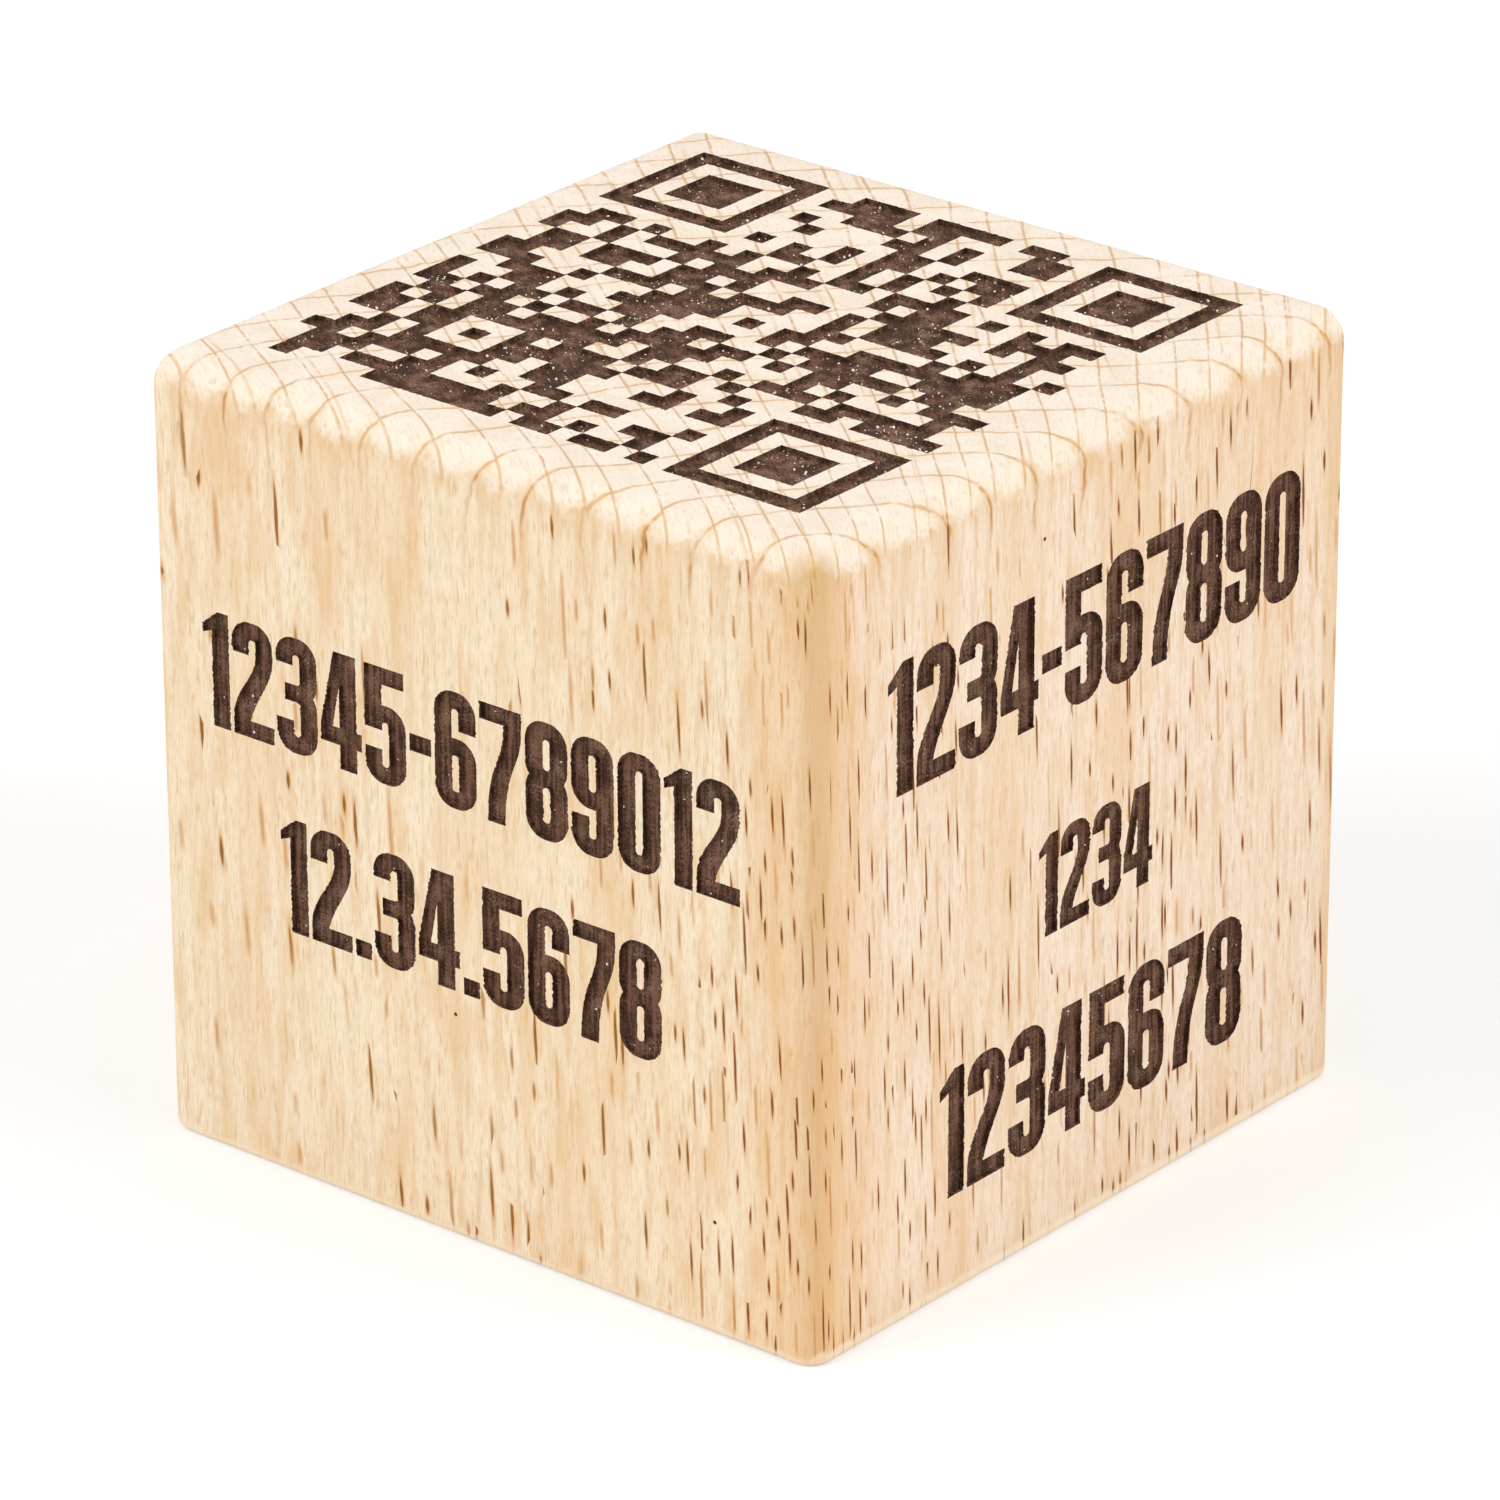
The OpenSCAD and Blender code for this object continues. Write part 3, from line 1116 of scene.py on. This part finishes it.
@dataclass
class EngravedFace:
    """One flat face of the block with its engraving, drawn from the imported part's own outlines.

    Lengths are in millimetres. step is the distance between corners along the outline, floor_step
    between those on the floor, clear what keeps them apart and tie what still counts as one place.
    The walls lean in by lean. The floor is looked for between shallow and deep below the face, and
    facing is the least cosine between the face and what lies in it.
    """

    side: Side
    rough: Vector
    chips: float
    step: float = 0.2
    floor_step: float = 0.36
    stagger: float = 0.25
    clear: float = 0.16
    lean: float = 0.05
    tie: float = 0.00001
    facing: float = 0.9999
    shallow: float = 0.1
    deep: float = 1.0
    level: float = 0.0
    floor_level: float = 0.0
    outline: list[tuple[Point, Point]] = field(default_factory=list)

    def measure(self, shape: bmesh.types.BMesh) -> None:
        """Finds the face, its floor and the engraving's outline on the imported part.

        Args:
            shape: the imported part, welded, in metres.
        """
        out = self.side.out
        heights = {f: f.calc_center_median().dot(out) / MM for f in shape.faces
                   if f.normal.dot(out) > self.facing}
        self.level = max(heights.values())
        floor = {f for f in heights if self.shallow < self.level - heights[f] < self.deep}
        self.floor_level = max(heights[f] for f in floor)
        edges = {e for f in floor for e in f.edges if sum(g in floor for g in e.link_faces) == 1}
        self.outline = sorted(tuple(self.side.flat(v.co / MM) for v in e.verts) for e in edges)

    def points(self, rim: list[tuple[Point, Point]]) -> tuple[list[Vector], list[tuple[int, int]]]:
        """Lists the places and the lines of the face's drawing.

        Args:
            rim: the border that the block's rounded part leaves open.

        Returns:
            The places and the lines between them.
        """
        numbers: dict[Point, int] = {}
        lines: list[tuple[int, int]] = []

        def number(place: Point) -> int:
            """Number of a place, which is new if no place lies there yet."""
            return numbers.setdefault((round(place[0], 4), round(place[1], 4)), len(numbers))

        for a, b in rim:
            lines.append((number(a), number(b)))
        on_rim = set(range(len(numbers)))
        for a, b in self.outline:
            start, end = Vector(a), Vector(b)
            count = max(1, math.ceil((end - start).length / self.step))
            stops = [number(tuple(start.lerp(end, i / count))) for i in range(count + 1)]
            lines += list(zip(stops, stops[1:]))
        drawn = [Vector(place) for place in numbers]
        return drawn + self.inner(drawn, on_rim), lines

    def inner(self, drawn: list[Vector], on_rim: set[int]) -> list[Vector]:
        """Strews places over the engraving's box, clear of its outline.

        Args:
            drawn: the places that are drawn already.
            on_rim: which of them lie on the rim.

        Returns:
            The places between them, on a staggered grid.
        """
        cut = [place for i, place in enumerate(drawn) if i not in on_rim]
        near = KDTree(len(cut))
        for i, place in enumerate(cut):
            near.insert((place.x, place.y, 0), i)
        near.balance()
        low = Vector((min(p.x for p in cut), min(p.y for p in cut)))
        high = Vector((max(p.x for p in cut), max(p.y for p in cut)))
        found = []
        for row in range(int((high.y - low.y) / self.floor_step)):
            for column in range(int((high.x - low.x) / self.floor_step)):
                u = low.x + (column + 0.5 + self.stagger * (row % 2)) * self.floor_step
                v = low.y + (row + 0.5) * self.floor_step
                if near.find((u, v, 0))[2] > self.clear:
                    found.append(Vector((u, v)))
        return found

    def patch(self, rim: list[tuple[Point, Point]]) -> Patch:
        """Draws the face: its flat surface, the engraving's walls and its floor.

        Args:
            rim: the border that the block's rounded part leaves open.

        Returns:
            The mesh data of the face.
        """
        places, lines = self.points(rim)
        spots, edges, triangles, _, from_lines, _ = delaunay_2d_cdt(places, lines, [], 1, self.tie)
        barrier = {frozenset(e) for e, source in zip(edges, from_lines) if source}
        floors = self.split(triangles, barrier, {self.key(p) for line in rim for p in line}, spots)
        walls, shore = self.walls(triangles, floors, spots)
        made = Patch()
        upper: dict[int, int] = {}
        lower: dict[int, int] = {}
        for t, tri in enumerate(triangles):
            for i in tri:
                if t in floors and i not in lower:
                    inset = spots[i] + shore[i].normalized() * self.lean if i in shore else spots[i]
                    slack = self.rough if i in shore else None
                    lower[i] = made.corner(self.side.solid(inset, self.floor_level), slack, -self.side.out)
                if t not in floors and i not in upper:
                    slack = self.rough if i in shore else None
                    upper[i] = made.corner(self.side.solid(spots[i], self.level), slack)
            made.face([(lower if t in floors else upper)[i] for i in tri], t in floors,
                      self.chips if t in floors else 0.0)
        for a, b in walls:
            made.face([upper[a], upper[b], lower[b], lower[a]], True)
        return made

    def walls(self, triangles: list[list[int]], floors: set[int],
              spots: list[Vector]) -> tuple[list[tuple[int, int]], dict[int, Vector]]:
        """Finds where the engraving's walls stand.

        Args:
            triangles: all triangles of the face.
            floors: the numbers of the triangles on the floor.
            spots: where the corners are.

        Returns:
            The walls' lower edges, with the floor on their left, and the way in to the floor at
            each of their ends.
        """
        owner = {(a, b): t for t, tri in enumerate(triangles) for a, b in zip(tri, tri[1:] + tri[:1])}
        found = []
        inward: dict[int, Vector] = defaultdict(lambda: Vector((0, 0)))
        for (a, b), t in owner.items():
            if t in floors and owner.get((b, a), t) not in floors:
                found.append((a, b))
                run = (spots[b] - spots[a]).normalized()
                inward[a] += Vector((-run.y, run.x))
                inward[b] += Vector((-run.y, run.x))
        return found, inward

    @staticmethod
    def key(place: Sequence[float]) -> Point:
        """Rounds a place, so that equal ones compare equal."""
        return (round(place[0], 3), round(place[1], 3))

    def split(self, triangles: list[list[int]], barrier: set[frozenset[int]], rim: set[Point],
              spots: list[Vector]) -> set[int]:
        """Finds the triangles inside the engraving, by walking in from the rim.

        Args:
            triangles: all triangles of the face.
            barrier: the edges that lie on the rim or on the outline.
            rim: the places on the rim.
            spots: where the corners are.

        Returns:
            The numbers of the triangles that are cut away.
        """
        beside: dict[frozenset[int], list[int]] = defaultdict(list)
        for t, tri in enumerate(triangles):
            for a, b in zip(tri, tri[1:] + tri[:1]):
                beside[frozenset((a, b))].append(t)
        edge_spots = {i for i, spot in enumerate(spots) if self.key(spot) in rim}
        first = next(t for t, tri in enumerate(triangles) if sum(i in edge_spots for i in tri) > 1)
        inside = {first: False}
        waiting = [first]
        while waiting:
            t = waiting.pop()
            tri = triangles[t]
            for a, b in zip(tri, tri[1:] + tri[:1]):
                pair = frozenset((a, b))
                for other in beside[pair]:
                    if other not in inside:
                        inside[other] = inside[t] != (pair in barrier)
                        waiting.append(other)
        return {t for t, cut in inside.items() if cut}


@dataclass
class Engraver:
    """Geometry Nodes that rough up the engraving: ragged outlines, uneven floors and chips.

    Lengths are in metres, turns in radians, and the density counts chips on a square metre.
    """

    ragged_plan: float = 0.2 * MM
    ragged_rise: float = 0.15 * MM
    ragged_least: float = 0.35
    ragged_patch: float = 1.5 * MM
    ragged_patches: Ramp = Ramp(0.4, 0.65)
    relief: float = 0.07 * MM
    relief_size: float = 0.55 * MM
    chip_size: float = 0.075 * MM
    chip_density: float = 3_600_000.0
    chip_seed: int = 11
    chip_drift: float = 2.5 * MM
    chip_drift_roughness: float = 0.6
    chip_drifts: Ramp = Ramp(0.36, 0.7)
    chip_least: tuple[float, float, float] = (0.35, 0.3, 0.3)
    chip_growth: tuple[float, float, float] = (2.3, 1.1, 0.9)
    turn_low: tuple[float, float, float] = (-0.4, -0.4, -1.3)
    turn_high: tuple[float, float, float] = (0.4, 0.4, -0.5)

    def tree(self) -> bpy.types.NodeTree:
        """Builds the Geometry Nodes tree.

        Returns:
            The tree, with named inputs for its sizes.
        """
        made = bpy.data.node_groups.new("rough_engraving", "GeometryNodeTree")
        face = made.interface
        face.new_socket("Geometry", in_out="INPUT", socket_type="NodeSocketGeometry")
        for name in ("Ragged Plan", "Ragged Rise", "Relief", "Relief Size", "Chip Size", "Chip Density"):
            face.new_socket(name, in_out="INPUT", socket_type="NodeSocketFloat")
        face.new_socket("Chip Seed", in_out="INPUT", socket_type="NodeSocketInt")
        face.new_socket("Chip Material", in_out="INPUT", socket_type="NodeSocketMaterial")
        face.new_socket("Geometry", in_out="OUTPUT", socket_type="NodeSocketGeometry")
        tree = Tree(made)
        given = tree.node("NodeGroupInput").outputs
        place = tree.node("GeometryNodeInputPosition").outputs[0]
        rough = self.roughed(tree, given, place)
        chips = self.chips(tree, given, place, rough)
        joined = tree.node("GeometryNodeJoinGeometry")
        tree.feed(joined.inputs[0], chips)
        tree.feed(joined.inputs[0], rough)
        tree.node("NodeGroupOutput", None, {0: joined.outputs[0]})
        return made

    def attribute(self, tree: Tree, name: str, kind: str) -> bpy.types.NodeSocket:
        """Reads an attribute of the mesh.

        Args:
            tree: the Geometry Nodes tree.
            name: the attribute's name.
            kind: its data type.

        Returns:
            Its value.
        """
        settings = {"data_type": kind}
        return tree.node("GeometryNodeInputNamedAttribute", settings, {"Name": name}).outputs[0]

    def roughed(self, tree: Tree, given: bpy.types.NodeOutputs, place: object) -> bpy.types.NodeSocket:
        """Strays the outlines in their faces and sinks the floors unevenly.

        Args:
            tree: the Geometry Nodes tree.
            given: the tree's inputs.
            place: the position.

        Returns:
            The roughened mesh.
        """
        size = tree.vector(given["Ragged Plan"], given["Ragged Plan"], given["Ragged Rise"])
        fine = tree.node("ShaderNodeTexNoise", {"noise_dimensions": "3D"},
                         {"Vector": tree.vector_math("DIVIDE", place, size), "Scale": 1.0, "Detail": 1.0})
        stray = tree.vector_math("SUBTRACT", fine.outputs["Color"], (0.5, 0.5, 0.5))
        stray = tree.vector_math("MULTIPLY", stray, self.attribute(tree, "slack", "FLOAT_VECTOR"))
        patchy = tree.noise(tree.scaled(place, 1 / self.ragged_patch), 1.0)
        stray = tree.scaled(stray, self.ragged_least + self.ragged_patches.up(patchy))
        wavy = tree.node("ShaderNodeTexNoise", {"noise_dimensions": "3D"},
                         {"Vector": place, "Scale": 1 / Field(tree, given["Relief Size"]), "Detail": 2.0})
        deep = (Field(tree, wavy.outputs[0]) - 0.5) * 2 * given["Relief"]
        drop = tree.scaled(self.attribute(tree, "sink", "FLOAT_VECTOR"), deep)
        offset = tree.vector_math("ADD", stray, drop)
        return tree.node("GeometryNodeSetPosition", None,
                         {"Geometry": given["Geometry"], "Offset": offset}).outputs[0]

    def chips(self, tree: Tree, given: bpy.types.NodeOutputs, place: object,
              rough: bpy.types.NodeSocket) -> bpy.types.NodeSocket:
        """Strews pale chips over the floors, in drifts.

        Args:
            tree: the Geometry Nodes tree.
            given: the tree's inputs.
            place: the position.
            rough: the roughened mesh.

        Returns:
            The chips as plain geometry.
        """
        drift = tree.noise(tree.scaled(place, 1 / self.chip_drift), 2.0, self.chip_drift_roughness)
        share = self.chip_drifts.up(drift) * self.attribute(tree, "chips", "FLOAT")
        strewn = tree.node("GeometryNodeDistributePointsOnFaces", {"distribute_method": "RANDOM"},
                           {"Mesh": rough, "Density": share * given["Chip Density"],
                            "Seed": given["Chip Seed"]})
        chip = tree.node("GeometryNodeMeshIcoSphere", None,
                         {"Radius": given["Chip Size"], "Subdivisions": 1})
        turn = tree.node("FunctionNodeRandomValue", {"data_type": "FLOAT_VECTOR"},
                         {0: self.turn_low, 1: self.turn_high, "Seed": given["Chip Seed"]})
        luck = tree.node("FunctionNodeRandomValue", {"data_type": "FLOAT_VECTOR"},
                         {"Seed": given["Chip Seed"]})
        rare = tree.vector_math("MULTIPLY", luck.outputs[0], luck.outputs[0])
        size = tree.vector_math("MULTIPLY_ADD", rare, self.chip_growth, self.chip_least)
        placed = tree.node("GeometryNodeInstanceOnPoints", None,
                           {"Points": strewn.outputs["Points"], "Instance": chip.outputs["Mesh"],
                            "Rotation": turn.outputs[0], "Scale": size})
        real = tree.node("GeometryNodeRealizeInstances", None, {"Geometry": placed.outputs[0]})
        return tree.node("GeometryNodeSetMaterial", None,
                         {"Geometry": real.outputs[0], "Material": given["Chip Material"]}).outputs[0]

    def apply(self, piece: bpy.types.Object, chip: bpy.types.Material) -> bpy.types.Object:
        """Runs the tree on a piece and returns the result as a plain mesh.

        Args:
            piece: the block with its attributes.
            chip: the chips' material.

        Returns:
            The same object with its new mesh and no modifier.
        """
        modifier = piece.modifiers.new("rough_engraving", "NODES")
        modifier.node_group = self.tree()
        values = {"Ragged Plan": self.ragged_plan, "Ragged Rise": self.ragged_rise,
                  "Relief": self.relief, "Relief Size": self.relief_size,
                  "Chip Size": self.chip_size, "Chip Density": self.chip_density,
                  "Chip Seed": self.chip_seed, "Chip Material": chip}
        for item in modifier.node_group.interface.items_tree:
            if item.in_out == "INPUT" and item.name in values:
                modifier[item.identifier] = values[item.name]
        weighted = piece.modifiers.new("even_shading", "WEIGHTED_NORMAL")
        weighted.keep_sharp = True
        shown = piece.evaluated_get(bpy.context.evaluated_depsgraph_get())
        mesh = bpy.data.meshes.new_from_object(shown)
        piece.modifiers.clear()
        piece.data = mesh
        return piece


@dataclass
class EngravedBlock:
    """The cube: one block with rounded edges and corners, engraved on three faces.

    Lengths are in millimetres.
    """

    arc_steps: int = 12
    side_steps: int = 24
    rise_steps: int = 16
    sharp_degrees: float = 35.0
    half: float = 0.0
    height: float = 0.0
    top_round: float = 0.0
    edge_round: float = 0.0
    base_round: float = 0.0
    faces: list[EngravedFace] = field(default_factory=lambda: [
        EngravedFace(Side.TOP, Vector((0.14, 0.28, 0.0)) * MM, 1.0, 0.16),
        EngravedFace(Side.FRONT, Vector((0.3, 0.0, 0.06)) * MM, 0.16, 0.13),
        EngravedFace(Side.RIGHT, Vector((0.0, 0.3, 0.06)) * MM, 0.16, 0.13),
    ])

    def measure(self) -> None:
        """Takes the block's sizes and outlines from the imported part."""
        shape = bmesh.new()
        shape.from_mesh(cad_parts[NODE].data)
        bmesh.ops.remove_doubles(shape, verts=shape.verts, dist=WELD)
        shape.normal_update()
        low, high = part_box(NODE)
        self.half = high.x / MM
        self.height = high.z / MM
        crown = [v.co for v in shape.verts if high.z - v.co.z < TOUCH]
        foot = [v.co for v in shape.verts if v.co.z - low.z < TOUCH]
        flank = [v.co for v in shape.verts if high.x - v.co.x < TOUCH]
        self.top_round = self.half - max(co.x for co in crown) / MM
        self.edge_round = self.half - max(co.y for co in flank) / MM
        self.base_round = self.half - max(co.x for co in foot) / MM
        for face in self.faces:
            face.measure(shape)
        shape.free()

    def level(self, height: float, inset: float, rounding: float) -> tuple[float, float, float]:
        """Describes one level outline of the block.

        Args:
            height: its height above the base.
            inset: its distance inside the block's faces.
            rounding: radius of the rounding that sets it in.

        Returns:
            Its height, its corners' radius and the distance of their centres from the middle.
        """
        radius = self.edge_round * (1 - inset / max(self.edge_round, rounding))
        return height, radius, self.half - inset - radius

    def rings(self) -> list[tuple[float, float, float]]:
        """Lists the level outlines of the block from its base to its top.

        Returns:
            Each outline's height, its corners' radius and their centres' distance from the middle.
        """
        quarter = [math.pi / 2 * i / self.arc_steps for i in range(self.arc_steps + 1)]
        low, high = self.base_round, self.height - self.top_round
        foot = [self.level(low * (1 - math.cos(angle)), low * (1 - math.sin(angle)), low)
                for angle in quarter]
        flat = [self.level(low + (high - low) * i / self.rise_steps, 0.0, low)
                for i in range(1, self.rise_steps)]
        crown = [self.level(high + self.top_round * math.sin(angle),
                            self.top_round * (1 - math.cos(angle)), self.top_round)
                 for angle in quarter]
        return foot + flat + crown

    def ring(self, height: float, radius: float, centre: float) -> list[Vector]:
        """Lists the points of one level outline.

        Args:
            height: its height above the base.
            radius: radius of its four corners.
            centre: distance of the corners' centres from the middle, along each axis.

        Returns:
            The points, anticlockwise, each side's straight part after its corner.
        """
        points = []
        for quarter in range(4):
            turn = Matrix.Rotation(quarter * math.pi / 2, 3, "Z")
            for i in range(self.arc_steps + 1):
                angle = math.pi / 2 * i / self.arc_steps
                points.append(turn @ Vector((centre + radius * math.cos(angle),
                                             centre + radius * math.sin(angle), height)))
            for i in range(1, self.side_steps):
                along = centre * (1 - 2 * i / self.side_steps)
                points.append(turn @ Vector((along, centre + radius, height)))
        return points

    def shell(self) -> Patch:
        """Draws all of the block but its engraved faces.

        Returns:
            The rounded edges and corners, the base and the two plain faces.
        """
        made = Patch()
        levels = self.rings()
        rows = [[made.corner(point) for point in self.ring(*level)] for level in levels]
        per_side = self.arc_steps + self.side_steps
        first_flat, last_flat = self.arc_steps, self.arc_steps + self.rise_steps
        for k, (lower, upper) in enumerate(zip(rows, rows[1:])):
            for i in range(len(lower)):
                quarter, step = divmod(i, per_side)
                straight = step >= self.arc_steps
                if straight and quarter in (2, 3) and first_flat <= k < last_flat:
                    continue
                j = (i + 1) % len(lower)
                made.face([lower[i], lower[j], upper[j], upper[i]])
        made.face(reversed(rows[0]))
        return made

    def rim(self, shell: bpy.types.Mesh, face: EngravedFace) -> list[tuple[Point, Point]]:
        """Finds the open border that the shell leaves round one engraved face.

        Args:
            shell: the rest of the block, in metres.
            face: the engraved face.

        Returns:
            The border's edges in the face's own drawing.
        """
        shape = bmesh.new()
        shape.from_mesh(shell)
        found = []
        for edge in shape.edges:
            off = [abs(v.co.dot(face.side.out) - face.level * MM) for v in edge.verts]
            if edge.is_boundary and max(off) < TOUCH:
                found.append(tuple(face.side.flat(v.co / MM) for v in edge.verts))
        shape.free()
        return found

    def build(self, wood: bpy.types.Material, burnt: bpy.types.Material,
              chip: bpy.types.Material) -> bpy.types.Object:
        """Builds the block as one piece.

        Args:
            wood: material of the outside.
            burnt: material inside the engraving.
            chip: material of the chips.

        Returns:
            The finished piece.
        """
        self.measure()
        whole = self.shell()
        shell = whole.mesh("shell", [])
        for face in self.faces:
            drawn = face.patch(self.rim(shell, face))
            whole.add(drawn)
            log.info("%s face: %d faces drawn", face.side.name.lower(), len(drawn.faces))
        bpy.data.meshes.remove(shell)
        mesh = whole.mesh("engraved_block", [wood, burnt])
        mesh.shade_smooth()
        mesh.set_sharp_from_angle(angle=math.radians(self.sharp_degrees))
        piece = bpy.data.objects.new("engraved_block", mesh)
        bpy.context.scene.collection.objects.link(piece)
        Engraver().apply(piece, chip)
        return piece


@dataclass(frozen=True)
class Lamp:
    """One square soft lamp. Lengths are in metres, and its power in watts."""

    name: str
    at: tuple[float, float, float]
    size: float
    power: float

    def hang(self, aim: Vector) -> None:
        """Hangs the lamp, unseen by the camera.

        Args:
            aim: the point that it shines at.
        """
        data = bpy.data.lights.new(self.name, "AREA")
        data.shape = "SQUARE"
        data.size = self.size
        data.energy = self.power
        made = bpy.data.objects.new(self.name, data)
        made.location = self.at
        made.rotation_euler = (aim - Vector(self.at)).to_track_quat("-Z", "Y").to_euler()
        made.visible_camera = False
        bpy.context.scene.collection.objects.link(made)


@dataclass
class Studio:
    """White floor, soft lamps and the camera. Lengths are in metres, angles in degrees."""

    azimuth: float = 39.585
    elevation: float = 24.039
    roll: float = -0.19
    camera_at: tuple[float, float, float] = (0.29947, -0.36251, 0.23276)
    focal_px: float = 8694.0
    clip_start: float = 0.01
    floor_size: float = 6.0
    floor_colour: Colour = (0.9, 0.9, 0.9, 1.0)
    floor_share: float = 0.8
    floor_glow: float = 1.82
    ambient: float = 0.42
    white: Colour = (1.0, 1.0, 1.0, 1.0)
    aim: tuple[float, float, float] = (0.0, 0.0, 0.025)
    lamps: tuple[Lamp, ...] = (
        Lamp("left_lamp", (-0.5, -0.9, 0.75), 0.8, 7.7),
        Lamp("right_lamp", (1.0, 0.3, 0.7), 0.8, 6.9),
        Lamp("top_lamp", (0.0, 0.1, 1.2), 0.9, 2.0),
    )

    def camera(self) -> None:
        """Sets the camera at the photograph's place, turn and focal length."""
        data = bpy.data.cameras.new("camera")
        data.sensor_width = SENSOR_MM
        data.lens = self.focal_px / PHOTO_SIDE_PX * SENSOR_MM
        data.clip_start = self.clip_start
        made = bpy.data.objects.new("camera", data)
        a, e = math.radians(self.azimuth), math.radians(self.elevation)
        back = Vector((math.sin(a) * math.cos(e), -math.cos(a) * math.cos(e), math.sin(e)))
        right = Vector((math.cos(a), math.sin(a), 0))
        up = back.cross(right)
        level = Matrix((right, up, back)).transposed()
        turned = level @ Matrix.Rotation(math.radians(self.roll), 3, "Z")
        made.matrix_world = Matrix.Translation(self.camera_at) @ turned.to_4x4()
        bpy.context.scene.collection.objects.link(made)
        bpy.context.scene.camera = made

    def world(self) -> None:
        """Lights the scene evenly, behind a background that shows white."""
        world = bpy.data.worlds.new("studio")
        world.use_nodes = True
        tree = Tree(world.node_tree)
        seen = self.seen(tree)
        strength = seen + (1 - seen) * self.ambient
        back = tree.node("ShaderNodeBackground", None, {"Color": self.white, "Strength": strength})
        tree.node("ShaderNodeOutputWorld", None, {"Surface": back.outputs[0]})
        bpy.context.scene.world = world

    def seen(self, tree: Tree) -> Field:
        """Picks the rays that look at the background, straight, by reflection or through glass.

        Args:
            tree: the tree of the world or of the floor's material.

        Returns:
            1 for those rays and 0 for the rays that only light the scene.
        """
        path = tree.node("ShaderNodeLightPath").outputs
        camera = Field(tree, path["Is Camera Ray"])
        return camera.most(path["Is Glossy Ray"]).most(path["Is Transmission Ray"])

    def floor(self) -> None:
        """Lays the white floor, which keeps a faint shadow of the block."""
        half = self.floor_size / 2
        mesh = bpy.data.meshes.new("floor")
        mesh.from_pydata([(-half, -half, 0), (half, -half, 0), (half, half, 0), (-half, half, 0)],
                         [], [(0, 1, 2, 3)])
        made = bpy.data.objects.new("floor", mesh)
        bpy.context.scene.collection.objects.link(made)
        material = bpy.data.materials.new("white_floor")
        material.use_nodes = True
        tree = Tree(material.node_tree)
        plain = tree.node("ShaderNodeBsdfDiffuse", None, {"Color": self.floor_colour})
        glow = tree.node("ShaderNodeEmission", None,
                         {"Color": self.white, "Strength": self.floor_glow})
        share = self.seen(tree) * (1 - self.floor_share)
        both = tree.node("ShaderNodeMixShader", None, {0: share, 1: plain.outputs[0], 2: glow.outputs[0]})
        tree.node("ShaderNodeOutputMaterial", None, {"Surface": both.outputs[0]})
        mesh.materials.append(material)

    def build(self) -> None:
        """Sets up the camera, the lamps, the background and the floor."""
        self.camera()
        for lamp in self.lamps:
            lamp.hang(Vector(self.aim))
        self.world()
        self.floor()
        bpy.context.scene.view_settings.view_transform = "Standard"


def main() -> None:
    """Builds the studio and the block."""
    logging.basicConfig(level=logging.INFO, format="%(message)s")
    Studio().build()
    log.info("studio: camera, lamps and floor")
    grain = Grain(half=cad_box[1][0] / MM, height=cad_box[1][2] / MM)
    block = EngravedBlock()
    piece = block.build(Beech(grain).material(), BurntBeech(grain).material(), PaleChip().material())
    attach(piece, "root")
    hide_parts(NODE)
    log.info("%s: %d faces", piece.name, len(piece.data.polygons))


if __name__ == "__main__":
    main()
